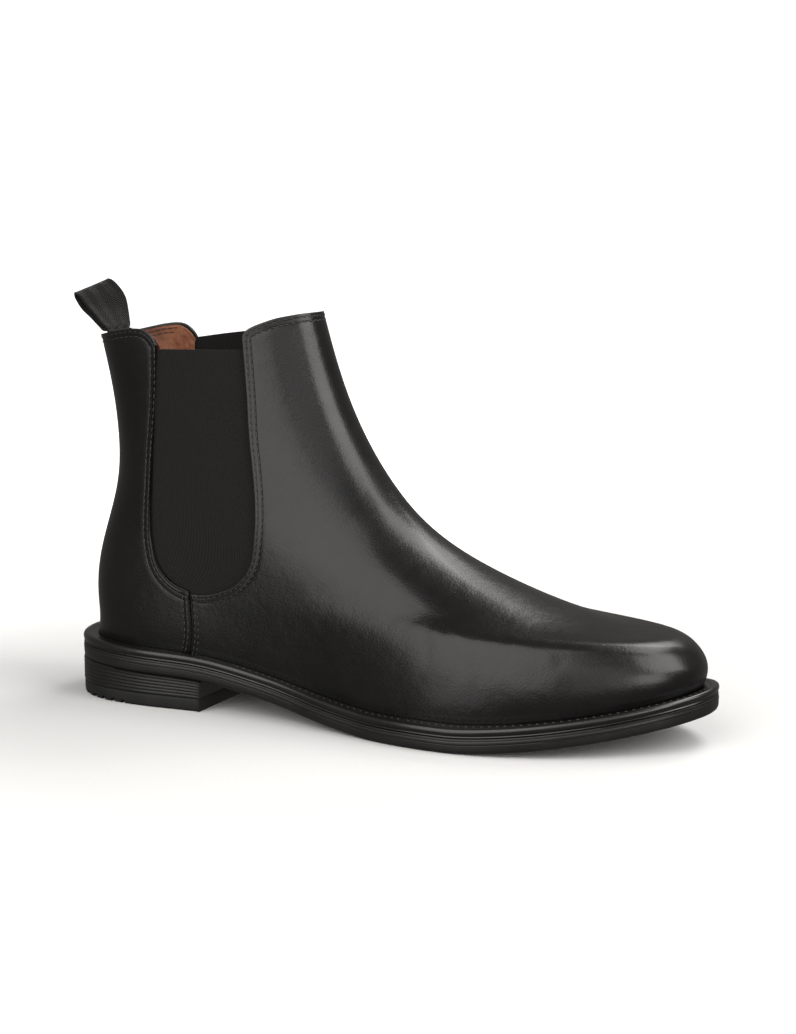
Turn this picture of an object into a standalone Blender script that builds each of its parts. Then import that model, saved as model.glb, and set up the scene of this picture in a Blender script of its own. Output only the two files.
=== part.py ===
"""Chelsea boot, right foot, built as a bottom unit, a lasted upper, its stiffeners, linings and footbed.

Frame: +X points to the toe, +Y to the medial (inner) side, +Z up, and the ground is z = 0.
Everything is drawn in last coordinates, where x = 0 is the back of the outsole, and the whole
boot is moved at the end so that the origin is the bottom centre of its box.
"""

import math

import bmesh
import bpy
import numpy as np
from mathutils import Matrix, Vector

MM = 0.001
SHIFT = np.array([-150.749, 1.540, 0.0])  # millimetres, from last coordinates to the part's frame

# ---------------------------------------------------------------- driving dimensions, millimetres
CLEARANCE = 0.3  # gap between pieces that are glued or sewn face to face

OUTSOLE_THICK = 6.8
WELT_THICK = 3.9
LEATHER = 1.4
STIFFENER = 1.2  # also the room for the elastic: both lie between leather and lining
LINING = 0.9
STRIP = 1.1
INSOLE_BOARD = 2.2
FOOTBED_FOAM = 3.0
SOCK = 1.0
FLANGE = 11.0  # lasting margin turned in under the insole board

HEEL_BREAST_X = 77.0
TOP_PIECE_THICK = 6.2
TREAD_DEPTH = 1.8
NAIL_RADIUS = 1.1
NAIL_HEAD_RADIUS = 2.4
NAIL_PLACES = [(28, 0), (38, -13), (38, 13), (54, -13), (54, 13)]

GORE_MARGIN = 8.0  # elastic hidden under the leather
ELASTIC = 1.05
STRIP_HALF_WIDTH = 4.5  # of the leather strip over the back seam

TAB_WIDTH = 20.5
TAB_THICK = 1.3
TAB_LEAN = math.radians(-35)  # rest attitude of the pull tab, back from the vertical
TAB_AXIS_RISE = 2.0  # hinge line above the top line, so that the folded tape clears both edges
# Half of the loop's middle line, (out from the middle, up from the hinge line).
TAB_TWIST = math.radians(34)  # how far the loop's top has turned round its length
TAB_LOOP = [(0, 0), (0.95, 1.0), (1.0, 4), (1.3, 9), (1.9, 15), (2.1, 19.5), (1.6, 22.4), (0, 23.8)]

# Outline of the outsole, seen from above: heel back, lateral side, toe, medial side.
OUTLINE = [
    (0, 0), (4.5, -19), (18, -32), (42, -37.5), (78, -37), (115, -38.5), (150, -46),
    (185, -54), (215, -55), (245, -48.5), (272, -36.5), (293, -21), (303.5, -6), (306, 7),
    (302.5, 20), (292, 32.5), (273, 44), (247, 51), (215, 52), (180, 46), (145, 37),
    (110, 32.5), (78, 34.5), (42, 37), (18, 32), (4.5, 19),
]

# Height of the outsole's underside along the boot: heel seat, shank, ball, toe spring.
SOLE_PROFILE = [
    (0, 17.6), (40, 15.8), (77, 14.2), (108, 9.4), (138, 3.6), (160, 0.7), (175, 0.0), (207, 0.0),
    (240, 3.0), (272, 8.0), (306, 15.0),
]

# Control rings of the lasted upper, bottom to top. Each ring runs from the back seam (x, z) to
# the front (x, z), with lateral and medial half widths at seven stations between them.
STATION_SHARE = [0.0, 0.0, 0.09, 0.26, 0.44, 0.62, 0.80, 0.965, 1.0]
RINGS = [
    dict(back=(8.5, 23), front=(300.5, 20), lateral=(21, 32, 29.5, 34, 48.5, 44, 20),
         medial=(21, 31.5, 26.5, 24, 38, 48, 31), tip=6),
    dict(back=(10.9, 36), front=(307.4, 33), lateral=(22, 34, 31, 36, 50.5, 46, 21),
         medial=(22, 33.5, 29, 28, 41, 49, 32), tip=6),
    dict(back=(9.2, 47.5), front=(293.4, 49.6), lateral=(22, 34, 32, 35.5, 46, 42, 20),
         medial=(22, 34, 31.5, 31.5, 41, 45, 29), tip=6),
    dict(back=(10.3, 67.9), front=(269.3, 44.2), lateral=(21, 32.5, 33, 34, 37, 35, 19),
         medial=(21, 32.5, 33, 33, 36, 36, 22), tip=4),
    dict(back=(21.8, 98.2), front=(190.2, 71.2), lateral=(18.5, 30, 32.5, 33, 31.5, 27, 14),
         medial=(18.5, 30, 32.5, 33, 31.5, 27, 14), tip=2),
    dict(back=(22.6, 118), front=(158.5, 98.4), lateral=(16, 27, 30.5, 31.5, 30, 25, 13.5),
         medial=(16, 27, 30.5, 31.5, 30, 25, 13.5), tip=0),
    dict(back=(19.1, 145), front=(133.3, 139.7), lateral=(14.5, 24.5, 28.5, 30, 28.5, 23.5, 13),
         medial=(14.5, 24.5, 28.5, 30, 28.5, 23.5, 13), tip=0),
    dict(back=(9.5, 178), front=(120.4, 187), lateral=(13.5, 22.5, 26.5, 28, 26.5, 22, 12.5),
         medial=(13.5, 22.5, 26.5, 28, 26.5, 22, 12.5), tip=0),
]


# ---------------------------------------------------------------- curves and the lasted surface
def spline_through(points, closed=False):
    """Catmull-Rom curve through the points; the returned function takes a share of the way, 0 to 1."""
    pts = np.asarray(points, float)
    count = len(pts)
    if not closed:
        pts = np.vstack([2 * pts[0] - pts[1], pts, 2 * pts[-1] - pts[-2]])

    def at(share):
        share = np.atleast_1d(np.asarray(share, float))
        spans = count if closed else count - 1
        place = (share % 1.0) * spans if closed else np.clip(share, 0, 1) * spans
        i = np.minimum(place.astype(int), spans - 1)
        t = (place - i)[:, None]
        if closed:
            p0, p1, p2, p3 = (pts[(i + k) % count] for k in (-1, 0, 1, 2))
        else:
            p0, p1, p2, p3 = (pts[i + k] for k in (0, 1, 2, 3))
        return 0.5 * (
            2 * p1 + (p2 - p0) * t + (2 * p0 - 5 * p1 + 4 * p2 - p3) * t**2
            + (3 * p1 - p0 - 3 * p2 + p3) * t**3
        )

    return at


def height_curve(points):
    """A smooth height over x, read from a fine polyline of the curve through the points."""
    line = spline_through(points)(np.linspace(0, 1, 400))
    return lambda x: np.maximum(np.interp(x, line[:, 0], line[:, 1]), 0)


sole_bottom = height_curve(SOLE_PROFILE)


def sole_top(x):
    return sole_bottom(x) + OUTSOLE_THICK


def ring_points(ring, index):
    """The sixteen control points of a ring: back, lateral stations, front, medial stations."""
    (xb, zb), (xf, zf) = ring["back"], ring["front"]
    side = {-1: ring["lateral"], 1: ring["medial"]}
    points = []
    for k in range(16):
        station = k if k <= 8 else 16 - k
        share = STATION_SHARE[station]
        x = xb + (xf - xb) * share
        z = zb + (zf - zb) * share
        if index == 0:
            z = float(sole_top(x)) + CLEARANCE
        elif index == 1:
            z = float(sole_top(x)) + 13.0
        if station in (0, 8):
            y = ring["tip"] if station == 8 else 0.0
        else:
            sign = -1 if k < 8 else 1
            y = sign * side[sign][station - 1]
        points.append((x, y, z))
    return points


NET = np.array([ring_points(ring, j) for j, ring in enumerate(RINGS)], float)
NET = np.vstack([(2 * NET[0] - NET[1])[None], NET, (2 * NET[-1] - NET[-2])[None]])


def basis(t):
    """The four uniform cubic B-spline weights at t, 0 to 1."""
    return np.stack([(1 - t) ** 3, 3 * t**3 - 6 * t**2 + 4, -3 * t**3 + 3 * t**2 + 3 * t + 1, t**3]) / 6


def net_surface(u, v):
    u, v = np.broadcast_arrays(np.asarray(u, float), np.asarray(v, float))
    rows, columns = len(RINGS), NET.shape[1]
    pu = (u % 1.0) * columns
    pv = np.clip(v, -0.05, 1.05) * (rows - 1)
    iu = np.floor(pu).astype(int)
    iv = np.clip(np.floor(pv).astype(int), 0, rows - 2)
    wu, wv = basis(pu - iu), basis(pv - iv)
    total = np.zeros(u.shape + (3,))
    for a in range(4):
        for b in range(4):
            weight = (wv[a] * wu[b])[..., None]
            total += weight * NET[iv + a, (iu + b - 1) % columns]
    return total


def last_surface(u, v):
    """Point on the outside of the upper. u goes round from the back seam over the lateral side,
    toe and medial side; v goes up from the sole to past the top line. The lowest line lies
    exactly one clearance above the outsole, which the net alone would only come close to."""
    u, v = np.broadcast_arrays(np.asarray(u, float), np.asarray(v, float))
    point = net_surface(u, v)
    foot = net_surface(u, np.zeros(u.shape))
    fade = np.clip(1 - v / 0.16, 0, 1) ** 2
    point[..., 2] += (sole_top(foot[..., 0]) + CLEARANCE - foot[..., 2]) * fade
    return point


def last_normal(u, v):
    step = 1e-3
    along = last_surface(u + step, v) - last_surface(u - step, v)
    up = last_surface(u, v + step) - last_surface(u, v - step)
    normal = np.cross(along, up)
    return normal / np.linalg.norm(normal, axis=-1, keepdims=True)


def v_at_height(u, z):
    """Where the line u crosses the height z."""
    u, z = np.broadcast_arrays(np.asarray(u, float), np.asarray(z, float))
    low, high = np.zeros(u.shape), np.full(u.shape, 1.05)
    for _ in range(40):
        middle = (low + high) / 2
        below = last_surface(u, middle)[..., 2] < z
        low, high = np.where(below, middle, low), np.where(below, high, middle)
    return (low + high) / 2


def level_normal(u):
    """The outward direction at the feather line, laid level."""
    normal = last_normal(u, np.full(np.shape(u), 0.02)).copy()
    normal[..., 2] = 0
    return normal / np.linalg.norm(normal, axis=-1, keepdims=True)


def slide(uv, steps):
    """Move points of the surface by the given displacements in millimetres."""
    for _ in range(2):
        here = last_surface(uv[:, 0], uv[:, 1])
        along = (last_surface(uv[:, 0] + 1e-4, uv[:, 1]) - here) / 1e-4
        up = (last_surface(uv[:, 0], uv[:, 1] + 1e-4) - here) / 1e-4
        moved = []
        for k in range(len(uv)):
            frame = np.stack([along[k], up[k]], 1)
            moved.append(np.linalg.lstsq(frame, steps[k] / 2, rcond=None)[0])
        uv = uv + np.array(moved)
    return uv


# ---------------------------------------------------------------- seam lines, drawn on the lasted surface
# Lateral side, (u, v). The medial side is the same with 1 - u.
SIDE_SEAM = [(0.1655, 0.0), (0.1666, 0.1014), (0.1691, 0.2231), (0.1728, 0.3381)]
GORE_FRONT = [
    (0.1728, 0.3381), (0.1839, 0.3430), (0.1930, 0.3599), (0.2041, 0.3879), (0.2150, 0.4227),
    (0.2302, 0.4728), (0.2487, 0.5344), (0.2695, 0.5995), (0.2869, 0.6623), (0.3028, 0.7292),
    (0.3185, 0.7990), (0.3326, 0.8575), (0.3418, 0.9050), (0.3487, 0.9476),
]
GORE_BACK = [
    (0.1728, 0.3381), (0.1647, 0.3540), (0.1576, 0.3788), (0.1519, 0.4136), (0.1491, 0.4528),
    (0.1484, 0.5115), (0.1531, 0.5928), (0.1653, 0.7022), (0.1809, 0.7853), (0.1993, 0.8608),
    (0.2173, 0.9381),
]
FRONT_TOP = [
    (0.3487, 0.9476), (0.3511, 0.9558), (0.3582, 0.9630), (0.3685, 0.9681), (0.3850, 0.9734),
    (0.4023, 0.9776), (0.4204, 0.9798), (0.4421, 0.9815), (0.4707, 0.9821), (0.5, 0.9822),
]
BACK_TOP = [
    (0.0, 0.9575), (0.05, 0.9585), (0.097, 0.961), (0.1307, 0.9652), (0.1607, 0.9694),
    (0.1865, 0.9706), (0.2015, 0.9666), (0.2108, 0.9575), (0.2155, 0.9473), (0.2173, 0.9381),
]
GORE_TOP = [(0.1794, 0.9348), (0.2173, 0.9376), (0.2803, 0.9423), (0.3487, 0.9476), (0.3936, 0.9502)]
MEDIAL_SHORTER = 0.029  # how much less far forward the medial quarter reaches at the top, in u


def shortened(line):
    """A line of the quarter as it runs on the medial side, where the quarter is shorter at the top."""
    line = np.array(line, float)
    reach = np.clip((line[:, 1] - 0.5) / 0.438, 0, 1)
    line[:, 0] -= MEDIAL_SHORTER * reach**2 * (3 - 2 * reach) * np.clip(line[:, 0] / 0.2173, 0, 1)
    return line


def mirrored(line):
    """The same line on the medial side."""
    return np.asarray(line, float) * (-1, 1) + (1, 0)


def through(points, count):
    """Points spread evenly along the smooth curve through a list of (u, v)."""
    fine = spline_through(points)(np.linspace(0, 1, 600))
    place = last_surface(fine[:, 0], fine[:, 1])
    run = np.concatenate([[0], np.cumsum(np.linalg.norm(np.diff(place, axis=0), axis=1))])
    even = np.linspace(0, run[-1], count)
    return np.column_stack([np.interp(even, run, fine[:, 0]), np.interp(even, run, fine[:, 1])])


def eased(count):
    """Shares from 0 to 1, a little closer together at both ends."""
    share = np.linspace(0, 1, count)
    return 0.55 * share + 0.45 * (0.5 - 0.5 * np.cos(np.pi * share))


def panel(left, right, top, columns):
    """Grid of (u, v) between two side edges given row by row, filling up to a top line v(u)."""
    rows = len(left)
    across = eased(columns)[None, :]
    inside = np.clip(np.minimum(across, 1 - across) / 0.22, 0, 1)
    inside = inside**2 * (3 - 2 * inside)
    u = left[:, :1] * (1 - across) + right[:, :1] * across
    share = (np.arange(rows) / (rows - 1))[:, None]
    edge = left[:, 1:] / left[-1, 1] * (1 - across) + right[:, 1:] / right[-1, 1] * across
    height = edge * (1 - inside) + (0.35 * edge + 0.65 * share) * inside
    return u, height * top(u)


def top_line(points):
    points = np.asarray(points, float)
    fine = spline_through(points)(np.linspace(0, 1, 500))
    return lambda u: np.interp(u, fine[:, 0], fine[:, 1])


def seam_gap(line, side):
    """Draw an edge back from its seam line by half a clearance; side is -1 or 1 along x."""
    steps = np.zeros((len(line), 3))
    steps[:, 0] = side * CLEARANCE / 2
    return slide(line, steps)


def vamp_panel(columns, rows):
    low = through(SIDE_SEAM, rows // 3 + 1)
    high = through(GORE_FRONT, rows - rows // 3)
    left = np.vstack([low, high[1:]])
    left = seam_gap(left, 1)
    left[0, 1] = 0
    crest = top_line(np.vstack([FRONT_TOP, mirrored(FRONT_TOP)[-2::-1]]))
    return panel(left, mirrored(left), crest, columns)


def quarter_panel(columns, rows, start=0.0, gore_side=GORE_BACK, top=BACK_TOP):
    low = through(SIDE_SEAM, rows // 3 + 1)
    high = through(gore_side, rows - rows // 3)
    right = np.vstack([low, high[1:]])
    right = seam_gap(right, -1)
    right[0, 1] = 0
    crest = top_line(top)
    back = np.column_stack([np.full(rows, start), right[:, 1] / right[-1, 1] * crest(start)])
    return panel(back, right, crest, columns)


def gore_panel(columns, rows, gore_side=GORE_BACK):
    """The elastic with its hidden margin: a four-sided patch with a round lower edge."""
    edge = np.vstack([through(gore_side, 60)[::-1], through(GORE_FRONT, 70)[1:]])
    place = last_surface(edge[:, 0], edge[:, 1])
    normal = last_normal(edge[:, 0], edge[:, 1])
    run = np.gradient(place, axis=0)
    outward = np.cross(run, normal)
    outward /= np.linalg.norm(outward, axis=1, keepdims=True)
    if outward[60, 2] > 0:
        outward = -outward
    edge = slide(edge, outward * GORE_MARGIN)
    crest = top_line(GORE_TOP)
    edge = edge[edge[:, 1] < crest(edge[:, 0])]
    first = np.argmin(edge[:, 1]) - 17
    last = first + 34
    left = edge[: first + 1][::-1]
    bottom = edge[first: last + 1]
    right = edge[last:]
    left = np.vstack([left, [left[-1, 0] + 0.001, crest(left[-1, 0])]])
    right = np.vstack([right, [right[-1, 0] + 0.001, crest(right[-1, 0])]])
    left, right = through(left, rows), through(right, rows)
    bottom = through(bottom, columns)
    across = np.linspace(0, 1, columns)
    top = np.column_stack([left[-1, 0] * (1 - across) + right[-1, 0] * across, across])
    top[:, 1] = crest(top[:, 0])
    s, t = across[None, :, None], np.linspace(0, 1, rows)[:, None, None]
    corners = (
        (1 - s) * (1 - t) * bottom[0] + s * (1 - t) * bottom[-1]
        + (1 - s) * t * top[0] + s * t * top[-1]
    )
    grid = (1 - t) * bottom[None] + t * top[None] + (1 - s) * left[:, None] + s * right[:, None] - corners
    return grid[..., 0], grid[..., 1]


# ---------------------------------------------------------------- turning grids and loops into solids
def layer(u, v, depth, foot=None):
    """Points a depth under the outside. With foot, the lowest row stands that high over the outsole."""
    points = last_surface(u, v) - depth * last_normal(u, v)
    if foot is not None:
        points[0] = last_surface(u[0], np.zeros(u[0].shape)) - depth * level_normal(u[0])
        points[0, :, 2] = sole_top(points[0, :, 0]) + foot
    return points


def turned_in(points, u_row, start, reach, foot):
    """Rows of the lasting margin, from its free edge out to the feather line."""
    rows = []
    for share in (1.0, 0.5):
        row = last_surface(u_row, np.zeros(u_row.shape)) - (start + (reach - start) * share) * level_normal(u_row)
        row[:, 2] = sole_top(row[:, 0]) + foot
        rows.append(row)
    return np.vstack([np.array(rows), points])


def shell(outer, inner):
    """Closed solid between two grids of the same shape."""
    rows, columns = outer.shape[:2]
    points = np.vstack([outer.reshape(-1, 3), inner.reshape(-1, 3)])
    index = np.arange(rows * columns).reshape(rows, columns)
    below = index + rows * columns
    faces = []
    for r in range(rows - 1):
        for c in range(columns - 1):
            faces.append((index[r, c], index[r, c + 1], index[r + 1, c + 1], index[r + 1, c]))
            faces.append((below[r, c], below[r + 1, c], below[r + 1, c + 1], below[r, c + 1]))
    rim = list(index[0, :]) + list(index[1:, -1]) + list(index[-1, -2::-1]) + list(index[-2:0:-1, 0])
    under = [k + rows * columns for k in rim]
    for k in range(len(rim)):
        n = (k + 1) % len(rim)
        faces.append((rim[n], rim[k], under[k], under[n]))
    return points, faces


def stacked(loops):
    """Closed solid through a stack of loops, capped by rungs between the two sides of each end loop."""
    count = len(loops[0])
    points = np.vstack(loops)
    faces = []
    for level in range(len(loops) - 1):
        for k in range(count):
            n = (k + 1) % count
            a, b = level * count, (level + 1) * count
            faces.append((a + k, a + n, b + n, b + k))
    for start, turn in ((0, -1), ((len(loops) - 1) * count, 1)):
        cap = [(0, 1, count - 1)]
        for k in range(1, (count - 1) // 2):
            cap.append((k, k + 1, count - k - 1, count - k))
        if count % 2 == 0:
            cap.append((count // 2 - 1, count // 2, count // 2 + 1))
        faces += [tuple(start + i for i in face[::turn]) for face in cap]
    return points, faces


def ring_of(loops):
    """Closed ring through loops that go round its section."""
    count = len(loops[0])
    points = np.vstack(loops)
    faces = []
    for level in range(len(loops)):
        a, b = level * count, (level + 1) % len(loops) * count
        for k in range(count):
            n = (k + 1) % count
            faces.append((a + k, a + n, b + n, b + k))
    return points, faces


def drawn_in(loop, distance):
    """A level loop moved inwards by a distance."""
    ahead, behind = np.roll(loop, -1, axis=0), np.roll(loop, 1, axis=0)
    run = ahead - behind
    inward = np.column_stack([-run[:, 1], run[:, 0]])
    inward /= np.linalg.norm(inward, axis=1, keepdims=True)
    middle = loop.mean(axis=0)
    if ((middle - loop) * inward).sum() < 0:
        inward = -inward
    return loop + distance * inward


def plate(loop, levels):
    """Solid of a level loop: each level is (distance drawn in, height over x)."""
    loops = []
    for inset, height in levels:
        inside = drawn_in(loop, inset) if inset else loop
        loops.append(np.column_stack([inside, height(inside[:, 0])]))
    return stacked(loops)


def feather_loop(inset, count=48):
    """Loop inside the upper at the feather line, drawn in by a distance."""
    u = np.arange(count) / count
    foot = last_surface(u, np.zeros(count)) - inset * level_normal(u)
    return foot[:, :2]


def over_outsole(rise):
    return lambda x: sole_top(x) + rise


def flat(height):
    return lambda x: np.full(np.shape(x), float(height))


# ---------------------------------------------------------------- materials and objects
def material(name, colour, roughness, metallic=0.0):
    """colour is sRGB, 0 to 255."""
    mat = bpy.data.materials.new(name)
    mat.use_nodes = True
    linear = [((c / 255 + 0.055) / 1.055) ** 2.4 if c > 10 else c / 255 / 12.92 for c in colour]
    shader = mat.node_tree.nodes["Principled BSDF"]
    shader.inputs["Base Color"].default_value = (*linear, 1)
    shader.inputs["Roughness"].default_value = roughness
    shader.inputs["Metallic"].default_value = metallic
    mat.diffuse_color = (*linear, 1)
    return mat


def link_object(name, shape, mat, origin=(0.0, 0.0, 0.0)):
    """Object from a bmesh in millimetres, faces turned outwards, its origin at the given point."""
    bmesh.ops.recalc_face_normals(shape, faces=shape.faces)
    origin = np.asarray(origin, float)
    bmesh.ops.translate(shape, verts=shape.verts, vec=Vector(-origin))
    bmesh.ops.scale(shape, verts=shape.verts, vec=(MM, MM, MM))
    mesh = bpy.data.meshes.new(name)
    shape.to_mesh(mesh)
    shape.free()
    mesh.shade_smooth()
    mesh.set_sharp_from_angle(angle=math.radians(32))
    obj = bpy.data.objects.new(name, mesh)
    obj.location = (origin + SHIFT) * MM
    bpy.context.scene.collection.objects.link(obj)
    if mat:
        mesh.materials.append(mat)
    return obj


def add_object(name, solid, mat, origin=(0.0, 0.0, 0.0)):
    points, faces = solid
    shape = bmesh.new()
    verts = [shape.verts.new(point) for point in points.tolist()]
    for face in faces:
        shape.faces.new([verts[i] for i in face])
    return link_object(name, shape, mat, origin)


def cut(obj, cutter):
    cutter.hide_render = True
    cutter.display_type = "WIRE"
    boolean = obj.modifiers.new("cut", "BOOLEAN")
    boolean.operation = "DIFFERENCE"
    boolean.solver = "EXACT"
    boolean.object = cutter


def spun(shape, profile, place, sides=12):
    """Add a solid of revolution about an upright line: (radius, height) pairs from top to bottom."""
    x, y = place
    line = [(0.0, profile[0][1])] + list(profile) + [(0.0, profile[-1][1])]
    verts = [shape.verts.new((x + radius, y, height)) for radius, height in line]
    edges = [shape.edges.new(pair) for pair in zip(verts, verts[1:])]
    made = bmesh.ops.spin(
        shape, geom=verts + edges, cent=(x, y, 0), axis=(0, 0, 1), angle=2 * math.pi, steps=sides,
        use_merge=True,
    )
    bmesh.ops.remove_doubles(shape, verts=shape.verts, dist=0.001)
    return made


def nail_profile(place, slack=0.0):
    """Half section of a heel nail, or with slack that of the room it sits in."""
    x = place[0]
    seat = float(sole_top(x)) + 5.3
    point = float(sole_bottom(x)) - 5.5
    head, shaft = NAIL_HEAD_RADIUS + slack, NAIL_RADIUS + slack
    above = 3.0 if slack else 0.0
    return [
        (head, seat + above), (head, seat - 1.0 - slack), (shaft, seat - 1.1 - slack),
        (shaft, point + 2.5 - slack), (0.3 + slack, point - slack),
    ]


# ---------------------------------------------------------------- the bottom unit
def outline_points(count):
    return spline_through(OUTLINE, closed=True)(np.arange(count) / count)


def heel_loop():
    """The sole's outline back of the heel breast, from the back round to the breast on both sides."""
    fine = spline_through(OUTLINE, closed=True)(np.linspace(0, 1, 4001))[:-1]
    half = len(fine) // 2
    lateral, medial = fine[:half], fine[:half - 1:-1]
    sides = []
    for side in (lateral, np.vstack([fine[:1], medial])):
        side = side[: np.argmax(side[:, 0] > HEEL_BREAST_X)]
        run = np.concatenate([[0], np.cumsum(np.linalg.norm(np.diff(side, axis=0), axis=1))])
        even = np.linspace(0, run[-1], 15)
        sides.append(np.column_stack([np.interp(even, run, side[:, 0]), np.interp(even, run, side[:, 1])]))
    sides[0][-1, 0] = sides[1][-1, 0] = HEEL_BREAST_X
    return np.vstack([sides[0], sides[1][:0:-1]])


def heel_in(loop, distance):
    """Draw the heel's loop in, keeping the breast flat and in its place."""
    inside = drawn_in(loop, distance)
    middle = len(loop) // 2
    corners = (middle, middle + 1)
    for corner in corners:
        inside[corner] = (HEEL_BREAST_X, loop[corner, 1] - math.copysign(distance, loop[corner, 1]))
    return inside


def heel_plate(levels):
    loop = heel_loop()
    loops = []
    for inset, height in levels:
        inside = heel_in(loop, inset)
        loops.append(np.column_stack([inside, height(inside[:, 0])]))
    return stacked(loops)


def build_bottom(mats):
    rubber, heel_stack = mats["rubber"], mats["heel"]
    tread = heel_plate([(1.0, flat(0)), (0.3, flat(0.9)), (0.3, flat(5.3)), (0.9, flat(TOP_PIECE_THICK))])
    top_piece = add_object("top_piece", tread, mats["top_piece"])
    slots = bmesh.new()
    for k in range(6):
        place = Matrix.Translation((6.2 + 6.0 * k, 0, TREAD_DEPTH - 2.5))
        bmesh.ops.create_cube(slots, size=1, matrix=place @ Matrix.Diagonal((2.4, 120, 5, 1)))
    cut(top_piece, link_object("tread_slots", slots, None))

    low = TOP_PIECE_THICK + CLEARANCE
    lifts = 4
    levels = []
    for k in range(lifts):
        for share, inset in ((0.0, 0.75), (0.18, 0.1), (0.82, 0.0)):
            levels.append((inset, share_height(low, (k + share) / lifts)))
    levels.append((0.6, share_height(low, 1.0)))
    heel = add_object("heel_block", heel_plate(levels), heel_stack)

    edge = [(1.4, 0.0), (0.4, 0.7), (0.15, 2.0), (0.1, 4.6), (0.5, 6.2), (0.9, OUTSOLE_THICK)]
    edge = [(inset, lambda x, rise=rise: sole_bottom(x) + rise) for inset, rise in edge]
    outsole = add_object("outsole", plate(outline_points(60), edge), rubber)

    add_object("welt", ring_of(welt_loops(64)), mats["welt"])

    rooms = bmesh.new()
    for number, place in enumerate(NAIL_PLACES, 1):
        nail = bmesh.new()
        spun(nail, nail_profile(place), place)
        link_object(f"heel_nail_{number}", nail, mats["steel"])
        spun(rooms, nail_profile(place, 0.25), place)
    nail_rooms = link_object("nail_rooms", rooms, None)
    low = 2 * CLEARANCE + LEATHER + LINING + CLEARANCE  # over the two lasting margins
    high = low + INSOLE_BOARD
    board = plate(feather_loop(5.4), [(0.4, over_outsole(low)), (0, over_outsole(low + 0.4)), (0, over_outsole(high))])
    insole = add_object("insole_board", board, mats["board"])
    for piece in (heel, outsole, insole):
        cut(piece, nail_rooms)

    shank = shank_loop()
    add_object("shank", plate(shank, [(0, over_outsole(0.7)), (0, over_outsole(2.2))]), mats["steel"])
    filler = filler_loop()
    add_object("bottom_filler", plate(filler, [(0, over_outsole(0.3)), (0, over_outsole(2.9))]), mats["cork"])
    low = high + CLEARANCE
    high = low + FOOTBED_FOAM
    foam = [(0.6, over_outsole(low)), (0, over_outsole(low + 0.5)), (0.3, over_outsole(high))]
    add_object("footbed_foam", plate(feather_loop(6.0), foam), mats["foam"])
    low = high + CLEARANCE
    sock = [(0.2, over_outsole(low)), (0, over_outsole(low + 0.3)), (0.2, over_outsole(low + SOCK))]
    add_object("sock_liner", plate(feather_loop(6.0), sock), mats["sock"])


def share_height(low, share):
    """A height that goes from a flat level up to just under the outsole."""
    return lambda x: low + (sole_bottom(x) - CLEARANCE - low) * share


def shank_loop():
    """Narrow spring plate from the heel seat to behind the ball, rounded at both ends."""
    spine = np.array([(64, 0), (100, -1), (135, -3), (168, -4)], float)
    middle = spline_through(spine)(np.linspace(0, 1, 15))
    half = np.array([0.0, 3.6, 5.6, 6.5] + [7.0] * 7 + [6.5, 5.6, 3.6, 0.0])
    lateral = middle - np.column_stack([np.zeros(15), half])
    medial = middle + np.column_stack([np.zeros(15), half])
    return np.vstack([lateral, medial[-2:0:-1]])


def filler_loop():
    """What is left between the turned-in margins ahead of the shank."""
    loop = feather_loop(13.2, 96)
    start = np.argmax(loop[:48, 0] > 174)
    lateral = loop[start:48]
    medial = loop[96 - start:48:-1]
    back = np.array([(174.0, (lateral[0, 1] + medial[0, 1]) / 2)])
    lateral[0, 0] = medial[0, 0] = 174.0
    return np.vstack([back, lateral, loop[48:49], medial[::-1]])


def welt_loops(count):
    """Section of the welt, carried round: outside from the bottom up, then back down along the upper."""
    u = np.arange(count) / count
    fine = spline_through(OUTLINE, closed=True)(np.linspace(0, 1, 4000, endpoint=False))
    foot = last_surface(u, np.zeros(count))[:, :2]
    outer = np.array([fine[np.argmin(((fine - p) ** 2).sum(1))] for p in foot])
    loops = []
    top = CLEARANCE + WELT_THICK
    for inset, rise in ((0.9, CLEARANCE), (0.3, 0.8), (0.0, 2.2), (0.3, top - 0.7), (1.0, top)):
        edge = drawn_in(outer, inset) if inset else outer
        loops.append(np.column_stack([edge, sole_top(edge[:, 0]) + rise]))
    for rise in (top, 2.4, CLEARANCE):
        v = v_at_height(u, sole_top(foot[:, 0]) + rise)
        wall = last_surface(u, v)
        wall = wall + 0.4 * level_normal(u)
        wall[:, 2] = sole_top(wall[:, 0]) + rise
        loops.append(wall)
    return loops


# ---------------------------------------------------------------- the upper
def leather_panel(u, v):
    outer = turned_in(layer(u, v, 0.0, 0.3), u[0], 0.0, FLANGE, 0.3)
    inner = turned_in(layer(u, v, LEATHER, 0.3 + LEATHER), u[0], LEATHER, FLANGE, 0.3 + LEATHER)
    return shell(outer, inner)


def lining_panel(u, v):
    depth = LEATHER + STIFFENER + 2 * CLEARANCE
    outer = turned_in(layer(u, v, depth, 2.0), u[0], depth, FLANGE, 2.0)
    inner = turned_in(layer(u, v, depth + LINING, 2.9), u[0], depth + LINING, FLANGE, 2.9)
    return shell(outer, inner)


def stiffener(u, v):
    depth = LEATHER + CLEARANCE
    return shell(layer(u, v, depth, 2.0), layer(u, v, depth + STIFFENER, 2.0 + 0.05))


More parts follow.
